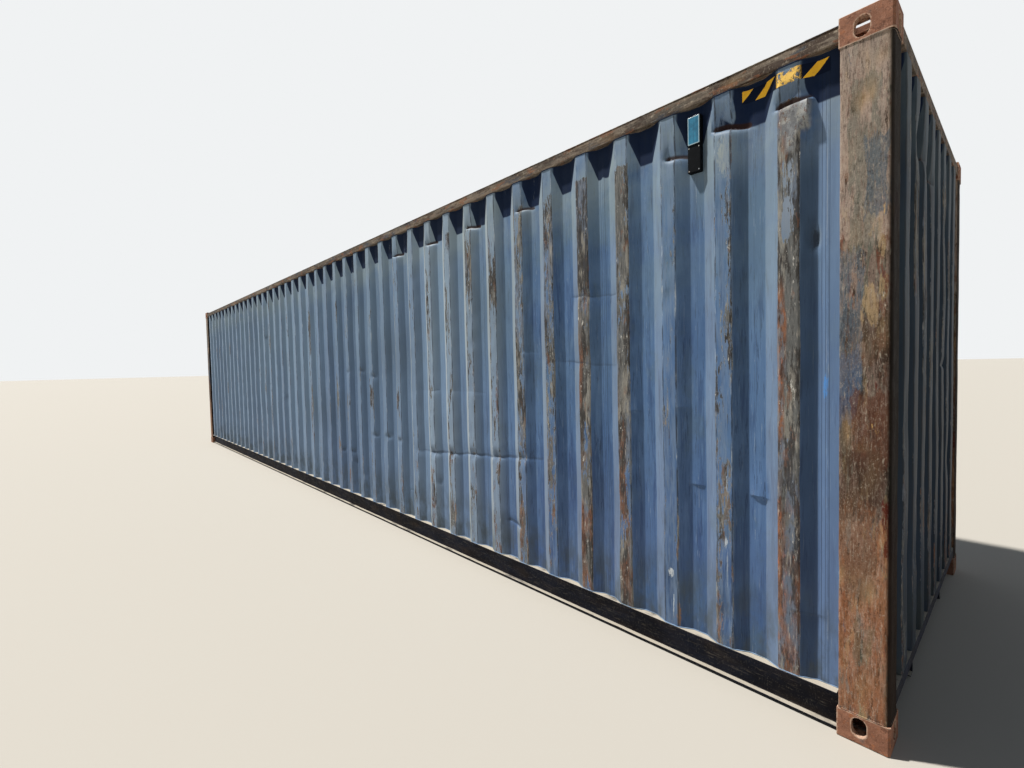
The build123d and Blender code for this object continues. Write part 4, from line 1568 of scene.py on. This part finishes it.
def coat_steel(shader, colour, bare, roughness, grain=4, depth=1.2, shine=CHALK_SHINE):
    """A coat that is gone in bare spots. Chalked paint and rust scatter light inside a loose
    powder, so both shine less than their smooth binder would."""
    pits = cloud(bare.tree, grain, (1, 1, 2), 2.2, 5.0, 0.65)
    relief = bare * -0.5 + pits * ramp(bare, 0, 1, 0.25, 1.6)
    finish(shader, colour, ramp(bare, 0, 1, roughness, RUST_ROUGHNESS), relief, 0.7, depth, shine)


def rubbed_steel(rusty):
    """Steel on a rubbed ridge: grey primer, brown rust and dark grease, in long streaks like
    bark. Rusty is how far the brown rust has spread."""
    tree = rusty.tree
    colour = patches(tree, "#616261", [
        ("#65748A", 220, (1, 1, 3), 0.5, 0.57, 0.6), ("#33302E", 70, (1, 1, 6), 0.48, 0.53, 0.85),
        ("#8F8C84", 60, (1, 1, 6), 0.53, 0.6, 0.7), ("#77533F", 45, UPRIGHT_FLECK, 0.58, 0.62, 0.5),
    ])
    rust = patches(tree, "#6B5043", [
        ("#8B5D42", 70, (1, 1, 5), 0.5, 0.57, 0.8), ("#42302A", 40, (1, 1, 4), 0.52, 0.57, 0.85),
        ("#A8694B", 22, UPRIGHT_FLECK, 0.58, 0.62, 0.7), ("#6D7076", 90, (1, 1, 5), 0.53, 0.57, 0.8),
    ])
    colour = mottle(tint(rusty, colour, rust), 7, (1, 1, 9), "#26201E", "#A8A197", 0.75)
    fleck = ramp(cloud(tree, 22, (1, 1, 3), 25.0, 9.0, 0.78), 0.6, 0.64)
    return tint(fleck * ramp(cloud(tree, 150, (1, 1, 2), 27.0), 0.42, 0.6) * 0.85, colour, "#D5D3CB")


print("steel ready")

# %% [markdown]
# ## Wall paint
#
# The walls were navy. Sun and salt have chalked them to a greyer blue, most on the flanks that
# face the sun, in clouds and in streaks where rain ran down. Just under the top rail the
# recesses carry a painted shadow of the rail: a dark coat down to the line of its shadow. The
# flanks that face the front end, and the recesses from 0.6 to 2.9 m towards it, are darkened as
# painted shade. The ridges are rubbed by lashing and stacking: thin scratches at first, then
# bare bands, with brown rust along their door-side edge and pale chips of paint at both edges.
# Dirt settles in dents, where it is mixed with painted shade, and near the ground. The creases
# get painted shade, with rust near the top. Most of this is a list of tones, where each covers
# as far as a few measures of the place say.

# %% What a wall's tones are measured by
# The painted shadow of the top rail: its top, and how far it reaches down in the deepest recess
RAIL_SHADOW_TOP = 2806 * MM
RAIL_SHADOW_DROP = 188 * MM
WALL_COAT = "#425F86"
WALL_PATCHES = [
    ("#55739A", 420, (1, 1, 3), 0.42, 0.6, 0.7),
    ("#6886AC", 30, UPRIGHT_STREAK, 0.5, 0.66, 0.4),
    ("#2D446C", 38, UPRIGHT_STREAK, 0.5, 0.62, 0.65),
    ("#4B6070", 170, (1, 1, 2), 0.54, 0.66, 0.45),
    ("#A3B1BC", 5, (1, 1, 40), 0.6, 0.67, 0.4),
    ("#202F4A", 12, (1, 1, 14), 0.57, 0.62, 0.55),
    ("#18243C", 4, (1, 1, 90), 0.6, 0.65, 0.5),
]
# Colour of the painted shadow of the top rail
RAIL_SHADOW_COAT = "#0E1A34"
# Clouds by name: size in millimetres, stretch, offset, and for some their detail and roughness
WALL_CLOUDS = {
    "haze": (700, EVEN, 6.6), "panel": (520, (1, 1, 40), 19.0, 2.0), "rain": (260, EVEN, 12.2),
    "dirt": (90, (1, 1, 2), 8.8), "rubbing": (14, (1, 1, 10), 9.5), "ragged": (60, EVEN, 2.6),
    "scuff": (16, (1, 1, 12), 14.5, 8.0, 0.72), "drift": (120, (1, 1, 5), 5.1, 8.0, 0.7),
    "splash": (90, (1, 1, 3), 5.7),
}
# Tones from the lowest up: colour, how well it covers, where it lies (where the sun bleaches,
# on the side walls alone, or everywhere), and its measures with the limits of their ramps.
# Levels and places along the container are in metres
WALL_TONES = [
    ("#708790", 0.7, "sun", ("level", 0.9, 2.3), ("haze", 0.35, 0.6)),
    ("#46598A", 0.6, "sun", ("level", 1.3, 0.5), ("haze", 0.3, 0.6)),
    ("#8EA6BC", 0.85, "sun", ("along", 4.3, 2.8), ("distance",)),
    ("#4A5F80", 0.4, "sun", ("panel", 0.52, 0.4)),
    # Painted shade: the recesses from 0.6 to 2.9 m along the side walls are darkened
    ("#3D5470", 0.42, "side", ("inner",), ("along", 0.6, 1.2), ("along", 2.9, 2.4)),
    ("#A9B7BE", 0.34, "side", ("crest",), ("along", 2.6, 2.9), ("along", 4.2, 3.8)),
    ("#7F98BE", 0.6, "sun", ("along", 5.82, 5.86)),
    ("#ABB0AA", 1.0, "sun", ("turn", -0.15, -0.5), ("along", 5.0, 3.2, 0.32, 1.0)),
    # Painted shade: flanks turned to +X, away from the sun, go dark navy, most near the front end
    ("#16263C", 1.0, "all", ("turn", 0.15, 0.5), ("along", 5.2, 5.7, 0.12, 0.6),
     ("level", 2.6, 2.3, 0.1, 1.0)),
    ("#8E9C9C", 0.9, "sun", ("level", 2.3, 2.62), ("rain", 0.3, 0.62)),
]
WALL_DIRT_AND_DENT_SHADE = [
    ("#454B49", 0.7, "all", ("level", 0.7, 0.2), ("dirt", 0.35, 0.65)),
    # Dirt and painted shade in dents
    ("#32383A", 0.38, "all", ("dent",)),
    ("#1B2432", 0.75, "side", ("seam",)),
]
WALL_CHIPS = [
    ("#2E3238", 0.8, "all", ("edge",), ("scuff", 0.46, 0.54)),
    ("#B4BCC1", 0.75, "all", ("edge",), ("scuff", 0.43, 0.38)),
]
# Small marks of the right wall: colour, middle along X and Z, half-width, half-height, cover
WALL_MARKS = [
    ("#4F86C6", 5866, 1443, 8, 48, 0.9), ("#CDD3D5", 5174, 455, 13, 24, 0.85),
    ("#B9C1C5", 5187, 300, 4, 60, 0.75), ("#CDD3D5", 5463, 690, 7, 24, 0.9),
    ("#B9C1C5", 5466, 985, 4, 66, 0.8), ("#8A6848", 5217, 245, 10, 66, 0.85),
    ("#C3CACD", 4930, 985, 10, 18, 0.7), ("#A9B2B8", 5470, 560, 3, 90, 0.6),
    ("#3B2A22", 5172, 1180, 5, 60, 0.6), ("#CDD3D5", 4640, 880, 5, 30, 0.8),
    # The dark mark at 5829, 2060 is dirt and painted shade in the deep dent there
    ("#2A3340", 5829, 2060, 11, 38, 0.75), ("#3A2219", 5738, 2416, 30, 16, 0.8),
    ("#A6AAA0", 5460, 2520, 32, 90, 0.45), ("#5F4636", 5494, 2540, 5, 80, 0.7),
]
SEAM_LINE = 1.3 * MM
SEAM_DOUBLE = 14 * MM


def marks(tree, colour, rows):
    """Small ragged marks on the right wall. A mark is where the squares of the distances from
    its middle, as shares of its half-width and half-height, plus a cloud, stay under a level."""
    x, z = place_of(tree, "X"), place_of(tree, "Z")
    right_side = ramp(place_of(tree, "Y"), 0.5, -0.5)
    torn = cloud(tree, 7, (1, 1, 4), 60.0, 9.0, 0.8) * 9.0
    for top, middle, level, wide, tall, cover in rows:
        beside = (x - middle * MM) * (1 / (wide * MM))
        above = (z - level * MM) * (1 / (tall * MM))
        mask = ramp(beside * beside + above * above + torn, 5.6, 5.1)
        colour = tint(mask * right_side * cover, colour, top)
    return colour


def seam_lines(along):
    """Two fine dark lines at each panel seam. A seam comes back every four pitches, so the
    distance to it is the place along the wall, folded back and forth over two pitches."""
    off = (along - (SEAM_VALLEYS[0] * WALL_PITCH - LAP)).apply("PINGPONG", 2 * WALL_PITCH)
    first, second = (ramp(d, SEAM_LINE, 0.4 * SEAM_LINE) for d in (off, abs(off - SEAM_DOUBLE)))
    return first.apply("MAXIMUM", second)


def wall_measures(tree):
    """What a wall's tones are measured by: the values that its mesh carries, its clouds, and
    what follows from them."""
    m = {key: value_of(tree, key)
         for key in ("crest", "ridge", "wear", "crease", "dent", "across", "along", "head")}
    m.update({key: cloud(tree, *row) for key, row in WALL_CLOUDS.items()})
    m["level"], m["turn"], m["inner"] = place_of(tree, "Z"), facing(tree, "X"), 1.0 - m["crest"]
    m["distance"] = ramp(m["along"], 0.5, 2.8, 0.6, 1.0) + ramp(m["along"], 1.0, 0.0, 0.0, 0.6)
    m["away"] = abs(m["across"])
    m["edge"] = ramp(m["away"], 0.84, 0.97) * ramp(m["away"], 1.2, 1.06)
    m["seam"] = seam_lines(m["along"])
    return m


print(len(WALL_TONES + WALL_DIRT_AND_DENT_SHADE + WALL_CHIPS), "tones,", len(WALL_MARKS), "marks")


# %% Wall paint
def lay_tones(colour, measures, rows, shares):
    """Covers a colour with tones, each times the share of the place where it lies."""
    for top, cover, where, *limits in rows:
        if shares[where]:
            colour = tint(masked(measures, cover * shares[where], limits), colour, top)
    return colour


def bare_wall(m):
    """How bare a wall is, and how much brown rust there is on its bare steel. The last ridge
    has kept its coat between two levels, and the worst rust lies along the ridges' door side."""
    kept = masked(m, 0.42, [
        ("along", 5.66, 5.69), ("level", 2.02, 2.14), ("level", 2.44, 2.4), ("away", 0.9, 0.5),
    ])
    worn = m["wear"] * (1.0 - kept) * ramp(m["level"], 2.69, 2.63, 0.25, 1.0)
    amount = worn * ramp(m["ridge"], 0.8, 0.95) + m["crease"] * 0.12
    cleaner = masked(m, 0.6, [("along", 5.1, 5.0), ("level", 1.2, 1.8)])
    worst = ramp(worn, 0.84, 0.94) * ramp(m["level"], 2.3, 1.6, 0.1, 1.0)
    worst = worst * ramp(m["across"] + m["drift"] * 2.4, 0.85, 0.45) * (1.0 - cleaner)
    low_down = masked(m, 0.7, [("level", 1.3, 0.5), ("splash", 0.42, 0.56)])
    return kept, bare_spots(amount, 11, (1, 1, 6)), worst.apply("MAXIMUM", low_down)


def wall_surface(name, coat, coat_patches, rail_shadow=RAIL_SHADOW_COAT, rub=("#6E8097", 0.5), sun=0.55,
                 side=True, shine=CHALK_SHINE):
    """The coat of a pressed wall: tones, some of them painted shade, a painted shadow of the top
    rail in the recesses under it, dirt and marks with painted shade in dents, rubbed crests and
    chipped edges, bare steel with a pale rim, and stains and painted shade in the creases."""
    surface, tree, shader = new_surface(name)
    m = wall_measures(tree)
    shares = {"sun": sun, "side": float(side), "all": 1.0}
    colour = lay_tones(patches(tree, coat, coat_patches), m, WALL_TONES, shares)
    # Painted shadow of the top rail: a dark coat with less shine in the recesses under it, down to a line
    # that drops with a recess's depth as the rail's shadow does
    if rail_shadow:
        limit = m["inner"] * -RAIL_SHADOW_DROP + RAIL_SHADOW_TOP
        above = ramp(m["level"] + m["ragged"] * (10 * MM) - limit, 0, 9 * MM)
        rail_shadow_mask = above * ramp(m["inner"], 0.06, 0.3) * 0.95
        colour = tint(rail_shadow_mask, colour, rail_shadow)
        shine = ramp(rail_shadow_mask, 0, 1, shine, RAIL_SHADOW_SHINE)
    colour = lay_tones(colour, m, WALL_DIRT_AND_DENT_SHADE, shares)
    colour = marks(tree, colour, WALL_MARKS) if side else colour
    rubbed = masked(m, rub[1], [("ridge", 0.8, 0.95), ("rubbing", 0.38, 0.6)])
    colour = lay_tones(tint(rubbed, colour, rub[0]), m, WALL_CHIPS, shares)

    kept, bare, rusty = bare_wall(m)
    colour = tint(kept * 1.3, colour, "#8B9299")
    colour = tint(bare, colour, rubbed_steel(rusty))
    rim = ramp(bare, 0.02, 0.3) * ramp(bare, 0.9, 0.4)
    colour = tint(rim * 0.6, colour, "#97A2AB")
    scraped = patches(tree, "#7E8184", [
        ("#9C9C97", 60, EVEN, 0.48, 0.56, 0.8), ("#606266", 34, (1, 1, 2), 0.52, 0.58, 0.8),
        ("#644B3D", 11, (1, 1, 2), 0.56, 0.61, 0.85), ("#33302E", 7, EVEN, 0.6, 0.65, 0.8),
    ])
    colour = tint(m["head"] * 0.92, colour, scraped)
    # Creases: painted shade in dark blue low down, and dark rust with painted shade near the top
    high_up = ramp(m["level"], 2.3, 2.45)
    crease_stain_and_shade = ramp(m["crease"], 0.12, 0.5) * ramp(high_up, 0, 1, 0.5, 0.92)
    colour = tint(crease_stain_and_shade, colour, tint(high_up, "#2C3542", "#2E1F1B"))
    coat_steel(shader, colour, bare, 0.55, shine=shine)
    return surface


wall_paint = wall_surface("chalked alkyd coat on pressed weathering steel", WALL_COAT, WALL_PATCHES)
# Painted shade: the front end stands in shade, so its coat and rubbing are near black
front_paint = wall_surface("coat darkened as painted shade on the pressed front sheet", "#0B101B", [
    ("#121925", 380, (1, 1, 3), 0.42, 0.6, 0.8), ("#2B2A2A", 34, UPRIGHT_STREAK, 0.54, 0.66, 0.5),
    ("#07090F", 40, UPRIGHT_STREAK, 0.52, 0.66, 0.6), ("#26231F", 150, (1, 1, 2), 0.56, 0.66, 0.5),
], rub=("#3A3938", 0.6), sun=0.12, side=False, shine=0.04)
door_paint = wall_surface(
    "coat on the door leaves", WALL_COAT, WALL_PATCHES, rail_shadow=None, sun=0.16, side=False
)
print("wall paint ready")

# %% [markdown]
# ## Posts, rails and castings
#
# What stands furthest out gets rubbed most. The corner posts and castings have hardly any coat
# left, only blue-grey islands in pink-brown rust, with fine upright scratches and tan dust. The
# castings are brown all over, and bright where twistlocks and hooks rub: along their edges and
# round their holes. That needs no painting by hand. The distance from a hole's outline and the
# distance from the casting's outer planes are simple formulas of the place on the container.

# %% Worn posts and rails
POST_START, POST_END = (corner.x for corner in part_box("front_post_right"))
# Torn patches of the posts: colour, lowest and highest level in metres, where each starts and
# ends as a share of the post's width, counted from the wall, and how well it covers
POST_BANDS = [
    ("#9A6748", 0.12, 1.0, -1.0, 2.0, 0.65), ("#3B2F28", 0.9, 1.75, -1.0, 2.0, 0.65),
    ("#A8988C", 2.0, 2.8, -1.0, 2.0, 0.7),
    ("#5F645B", 1.95, 2.66, 0.2, 0.8, 0.6), ("#4C5A66", 2.1, 2.42, 0.45, 0.95, 0.75),
    ("#50606C", 1.4, 2.0, -0.2, 0.5, 0.7), ("#A38C6B", 1.68, 1.84, 0.45, 0.75, 0.8),
    ("#455771", 1.3, 1.6, -0.2, 0.4, 0.7), ("#5E3D2F", 1.12, 1.42, 0.2, 1.2, 0.75),
    ("#4A362C", 0.95, 1.2, -0.2, 0.9, 0.75), ("#571F18", 0.78, 1.02, 0.8, 1.1, 0.85),
    ("#C6A066", 2.08, 2.15, 0.84, 1.0, 0.9), ("#6A241A", 2.05, 2.2, 0.94, 1.1, 0.95),
    ("#585E50", 0.34, 0.52, 0.3, 0.7, 0.45), ("#5C5046", 0.6, 0.95, -0.2, 0.8, 0.5),
]
BAND_SOFT = 50 * MM
BAND_SOFT_SHARE = 0.15


def between(value, low, high, soft):
    """1 where a value is between two others and 0 elsewhere, with soft sides."""
    return ramp(value, low - soft, low + soft) * ramp(value, high + soft, high - soft)


def torn_bands(tree, colour, rows):
    """Covers a colour with torn patches. Each lies where a box with soft sides, plus a cloud,
    passes a level, and streaks run down through it."""
    level = place_of(tree, "Z")
    share = (abs(place_of(tree, "X")) - POST_START) * (1 / (POST_END - POST_START))
    streaks = ramp(cloud(tree, 9, (1, 1, 8), 53.0, 9.0, 0.75), 0.36, 0.54, 0.3, 1.0)
    for i, (top, low, high, left, right, cover) in enumerate(rows):
        inside = between(level, low, high, BAND_SOFT) * between(share, left, right, BAND_SOFT_SHARE)
        torn = cloud(tree, 36, (1, 1, 6), 51.0 + 7 * i, 9.0, 0.75) * 5.0
        colour = tint(ramp(inside * 1.25 + torn, 3.25, 3.45) * streaks * cover, colour, top)
    return colour


def worn_steel(name, base, rows, streak, dust=0.0, bands=(), shade=0.0, grain_cover=0.55,
               shine=CHALK_SHINE):
    """Steel that has lost nearly all of its coat, in layered patches with a fine grain. Dents
    are dusty, and painted shade darkens what faces the container's front end."""
    surface, tree, shader = new_surface(name)
    colour = torn_bands(tree, patches(tree, base, rows), bands)
    colour = mottle(colour, 10, streak, "#2B211C", "#A99E8E", grain_cover)
    colour = mottle(colour, 6, (1, 1, 2), "#241B17", "#B9AE9C", 0.8 * grain_cover, 5.0)
    colour = tint(value_of(tree, "dent") * (0.8 * grain_cover), colour, "#A98A62")
    # Painted shade: faces turned to +X go near black
    if shade:
        colour = tint(ramp(facing(tree, "X"), 0.2, 0.75) * shade, colour, "#161311")
    if dust:
        settled = ramp(cloud(tree, 50, (3, 1, 1), 7.0), 0.25, 0.5)
        colour = tint(ramp(facing(tree, "Z"), 0.4, 0.95) * settled * dust, colour, "#A8A194")
    rough_spots = ramp(cloud(tree, 40, (1, 1, 2), 9.9), 0.4, 0.5)
    coat_steel(shader, colour, rough_spots, 0.8, depth=1.6, shine=shine)
    return surface


# The posts' faces towards the front end are darkened as painted shade
post_paint = worn_steel("coat rubbed off the corner posts", "#77675D", [
    ("#8F7B70", 120, (1, 1, 3), 0.44, 0.53, 0.8), ("#5A5E54", 36, (1, 1, 9), 0.51, 0.55, 0.7),
    ("#6B4A3A", 60, (1, 1, 4), 0.53, 0.56, 0.75), ("#9C8664", 50, (1, 1, 5), 0.57, 0.59, 0.7),
    ("#2E241E", 30, (1, 1, 5), 0.55, 0.57, 0.85), ("#241C18", 8, (1, 1, 12), 0.57, 0.6, 0.8),
    ("#66382E", 30, (1, 1, 4), 0.6, 0.62, 0.7), ("#C3BBAB", 14, (1, 1, 5), 0.62, 0.64, 0.8),
], (1, 1, 5), bands=POST_BANDS, shade=0.95, shine=0.07)
rail_paint = worn_steel("coat rubbed off the top rails", "#544D45", [
    ("#7A6E61", 90, (4, 1, 1), 0.44, 0.54, 0.8), ("#3F322A", 70, (4, 1, 1), 0.5, 0.56, 0.85),
    ("#7A4F37", 45, (3, 1, 1), 0.55, 0.59, 0.75), ("#3A434E", 80, (4, 1, 1), 0.55, 0.6, 0.7),
    ("#A89D8B", 20, (3, 1, 1), 0.6, 0.66, 0.7),
], (8, 1, 1), dust=0.5)
# The near-black coat is also painted shade on the webs of the bottom rails, which stand in shade
base_coat_and_shade = worn_steel("dark coat on rails, sills and floor beams", "#0F111B", [
    ("#1E2434", 200, (3, 1, 1), 0.42, 0.6, 0.8), ("#2E3036", 60, (4, 1, 1), 0.55, 0.62, 0.5),
    ("#2B221E", 50, (3, 1, 1), 0.6, 0.65, 0.4),
], (8, 1, 1), dust=0.95, grain_cover=0.2)
print("posts and rails ready")

# %% Rusted castings
HOLE_TALL = 79.5 * MM
HOLE_WIDE = 51 * MM
# How far the middles of the side holes and end holes are from the container's corner, and of
# both from its top or bottom
SIDE_HOLE_INSET = 101.5 * MM
END_HOLE_INSET = 89 * MM
HOLE_INSET = 28 * MM + HOLE_TALL / 2
middle_level = cad_high.z / 2


def hole_distance(tree, axis, from_middle):
    """How far a point is from a slotted hole's outline: the distance from the hole's upright
    middle line, less half its width. The hole is mirrored to all four corners."""
    beside = abs(place_of(tree, axis)) - from_middle
    off = abs(abs(place_of(tree, "Z") - middle_level) - (middle_level - HOLE_INSET))
    past = (off - (HOLE_TALL - HOLE_WIDE) / 2).apply("MAXIMUM", 0.0)
    return (beside * beside + past * past).apply("SQRT") - HOLE_WIDE / 2


def near_edge(place, inner, outer):
    """1 along the two planes of a casting that face in and out along an axis."""
    at_outer = ramp(place, outer - 7 * MM, outer - 2 * MM)
    return at_outer.apply("MAXIMUM", ramp(place, inner + 7 * MM, inner + 2 * MM))


def casting_surface():
    """Brown cast steel, scraped pale round its holes and along its edges, which is where a
    point is near two of its planes."""
    surface, tree, shader = new_surface("rusted cast steel")
    low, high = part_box("casting_front_left_top")
    colour = patches(tree, "#805845", [
        ("#986B55", 70, EVEN, 0.42, 0.6, 0.8), ("#5A3A2D", 40, EVEN, 0.54, 0.64, 0.8),
        ("#A2643F", 30, EVEN, 0.56, 0.66, 0.7), ("#6C6560", 50, EVEN, 0.6, 0.68, 0.5),
        ("#34231C", 9, EVEN, 0.6, 0.68, 0.7), ("#B99B86", 8, EVEN, 0.62, 0.7, 0.6),
    ])
    side = hole_distance(tree, "X", cad_high.x - SIDE_HOLE_INSET)
    end = hole_distance(tree, "Y", cad_high.y - END_HOLE_INSET)
    ring = ramp(side.apply("MINIMUM", end), 6 * MM, 1 * MM)
    near = near_edge(abs(place_of(tree, "X")), low.x, high.x)
    near = near + near_edge(abs(place_of(tree, "Y")), low.y, high.y)
    up = abs(place_of(tree, "Z") - middle_level)
    near = near + near_edge(up, low.z - middle_level, high.z - middle_level)
    scraped = ramp(near, 1.4, 1.9).apply("MAXIMUM", ring)
    left = ramp(cloud(tree, 14, EVEN, 8.0), 0.36, 0.52)
    colour = tint(scraped * left * 0.75, colour, "#BFA48F")
    colour = mottle(colour, 5, EVEN, "#38261E", "#BF9E86", 0.45)
    coat_steel(shader, colour, ramp(cloud(tree, 26), 0.4, 0.55), 0.75, grain=5, depth=1.6)
    return surface


casting_rust = casting_surface()
print("castings ready")

# %% [markdown]
# ## Roof
#
# Sun falls straight on the roof, so it has chalked most. Rain stands in the flats, where rust
# starts, and feet and straps rub the ridges.


# %% Roof paint
def roof_surface():
    """A chalked coat, with rust and rusty stains that lie mostly in the flats."""
    surface, tree, shader = new_surface("sun-chalked coat on the roof sheet")
    colour = patches(tree, "#485666", [
        ("#65727F", 300, (1, 2, 1), 0.42, 0.6, 0.8), ("#7C858C", 40, (1, 8, 1), 0.54, 0.7, 0.5),
        ("#54524C", 130, (1, 2, 1), 0.56, 0.68, 0.5),
    ])
    wear = (1.0 - value_of(tree, "crest")) * 0.1 + 0.16
    bare = bare_spots(wear, 16, EVEN)
    rust = patches(tree, "#6A4735", [
        ("#8F5A3C", 60, EVEN, 0.45, 0.6, 0.7), ("#3E2A22", 12, EVEN, 0.58, 0.66, 0.7),
    ])
    colour = tint(bare_spots(wear, 16, EVEN, 0.48) * 0.5, colour, "#7A6250")
    coat_steel(shader, tint(bare, colour, rust), bare, 0.65)
    return surface


roof_paint = roof_surface()
print("roof ready")

# %% [markdown]
# ## Other surfaces
#
# The lock gear is hot-dip galvanised, which is grey with a faint spangle and goes dull and
# rust-stained. The seals are EPDM rubber, matt and grey with dust. The floor is birch-faced
# plywood, dark with use. The tracking unit is a black moulded box with a small solar panel.


# %% Galvanised steel, rubber, plywood and the tracking unit
def galvanised():
    """Hot-dip zinc: a faint spangle of crystals 12 mm across, white rust and brown stains."""
    surface, tree, shader = new_surface("hot-dip galvanised lock gear")
    place = add(tree, "ShaderNodeTexCoord", out="Object")
    spangle = add(tree, "ShaderNodeTexVoronoi", {"Vector": place, "Scale": 1 / (12 * MM)}, out="Color")
    tone = add(tree, "ShaderNodeSeparateXYZ", {0: spangle}, out=0)
    colour = patches(tree, tint(tone * 0.5, "#777C80", "#989D9E"), [
        ("#857768", 60, (1, 1, 4), 0.5, 0.66, 0.7), ("#6B432F", 16, (1, 1, 5), 0.58, 0.66, 0.8),
        ("#B7B8B2", 10, (1, 1, 3), 0.6, 0.7, 0.5),
    ])
    finish(shader, colour, 0.56, cloud(tree, 5), 0.3, 0.8, 0.5)
    feed(shader, {"Metallic": 0.45})
    return surface


def plain_surface(name, base, rows, roughness, grain, stretch=EVEN, depth=0.5, shine=0.5):
    """A surface with patches of colour, one gloss and a fine even relief."""
    surface, tree, shader = new_surface(name)
    relief = cloud(tree, grain, stretch)
    finish(shader, patches(tree, base, rows), roughness, relief, 0.3, depth, shine)
    return surface


lock_steel = galvanised()
seal_rubber = plain_surface("moulded EPDM door seal", "#1E1F20", [
    ("#4B4A47", 80, (1, 1, 3), 0.42, 0.7, 0.9), ("#6E6960", 20, (1, 1, 2), 0.6, 0.7, 0.5),
], 0.78, 4)
floor_wood = plain_surface("worn birch plywood floor", "#5A3F28", [
    ("#8A6642", 9, (40, 1, 1), 0.4, 0.65, 0.9), ("#3B2C20", 140, EVEN, 0.52, 0.7, 0.6),
], 0.72, 9, (40, 1, 1), 1.0)
tracker_black = plain_surface("moulded black ABS housing", "#0C0E11", [
    ("#1C1E22", 24, EVEN, 0.5, 0.72, 0.7), ("#4A4A48", 6, EVEN, 0.66, 0.74, 0.4),
], 0.55, 2, depth=0.3, shine=0.04)
print("other surfaces ready")

# %% [markdown]
# ## Tape film
#
# The film is printed with slanting black and yellow stripes. It has rubbed through where it
# runs over the ridge, down to its grey backing.

# %% Striped film
STRIPE_PITCH = 104 * MM
STRIPE_WIDTH = 0.41
STRIPE_SLANT = 0.95
STRIPE_START = 55 * MM


def striped_film():
    """Stripes from the distance along the folded sheet: a stripe is yellow where that distance,
    less a share of the height, divided by the pitch, has a remainder under the stripe's width.
    On the ridge only scraps of the yellow are left, and the wall shows through."""
    surface, tree, shader = new_surface("printed hazard tape")
    back = (place_of(tree, "Z") - TAPE_LOW) * STRIPE_SLANT + STRIPE_START
    rest = ((value_of(tree, "run") - back) * (1 / STRIPE_PITCH)).apply("FLOORED_MODULO", 1.0)
    black = ramp(rest, STRIPE_WIDTH - 0.01, STRIPE_WIDTH + 0.01)
    on_ridge = ramp(value_of(tree, "crest"), 0.75, 0.95)
    yellow = patches(tree, "#FFC53A", [("#D9A045", 40, EVEN, 0.5, 0.62, 0.4)])
    yellow = tint(on_ridge * 0.5, yellow, "#F2D68E")
    torn = cloud(tree, 22, (1, 1, 1.4), 5.0, 9.0, 0.75) + black * 0.07
    feed(shader, {
        "Base Color": tint(black * ramp(on_ridge, 0, 1, 1.0, 0.1), yellow, "#081226"),
        "Alpha": 1.0 - on_ridge * ramp(torn, 0.53, 0.55),
        "Roughness": 0.5, "Specular IOR Level": 0.06,
    })
    return surface


tape_film = striped_film()
print("tape film ready")

# %% [markdown]
# ## Solar panel
#
# A small solar panel is silicon cells under a resin or glass face: deep blue-green, with fine
# silver lines across it and a pale border of bare backing.

# %% Solar panel
CELL_PITCH = 9 * MM
CELL_LINE = 1.1 * MM
PANEL_BORDER = 3.5 * MM


def solar_cells():
    """Cells with upright lines: a line shows where the place along the panel, folded back and
    forth over a pitch, is under the line's width. The border shows within a set distance of
    the panel's edges."""
    surface, tree, shader = new_surface("laminated solar cells")
    low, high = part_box("tracker_panel")
    middle, half = (low + high) / 2, (high - low) / 2
    x, z = place_of(tree, "X") - middle.x, place_of(tree, "Z") - middle.z
    line = x.apply("PINGPONG", CELL_PITCH).apply("LESS_THAN", CELL_LINE)
    colour = tint(ramp(cloud(tree, 30), 0.3, 0.7), "#155A78", "#27799A")
    colour = tint(line * 0.55, colour, "#0E4560")
    for place, reach in ((x, half.x), (z, half.z)):
        border = abs(place).apply("GREATER_THAN", reach - PANEL_BORDER)
        colour = tint(border, colour, "#9DB7C2")
    feed(shader, {"Base Color": colour, "Roughness": 0.22})
    return surface


tracker_cell = solar_cells()
print("solar panel ready")

# %% [markdown]
# ## Every piece gets its surface
#
# The record names a material slot for each solid, and each new piece took the slot of the
# solid that it stands for. So one table from slot to surface dresses the whole container. Only
# the tape has a film of its own.

# %% Surfaces by slot
SURFACES = {
    "wall_paint": wall_paint, "front_paint": front_paint, "roof_paint": roof_paint,
    "post_steel": post_paint, "rail_steel": rail_paint, "casting_steel": casting_rust,
    "base_steel": base_coat_and_shade, "door_paint": door_paint, "lock_steel": lock_steel,
    "seal_rubber": seal_rubber, "floor_wood": floor_wood, "tracker_plastic": tracker_black,
    "tracker_cell": tracker_cell,
}


def dress(piece, surface):
    """Gives a piece one surface all over."""
    piece.data.materials.clear()
    piece.data.materials.append(surface)


for name, solid in nodes.items():
    dress(solid, SURFACES[SLOT_OF[name]])
pressed = right_panels + left_panels + [front_wall, roof_piece] + door_sheets
for piece in pressed + bars + list(rounded.values()) + welds + bolts:
    dress(piece, SURFACES[piece["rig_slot"]])
dress(tape, tape_film)
print("dressed", len(nodes), "solids")
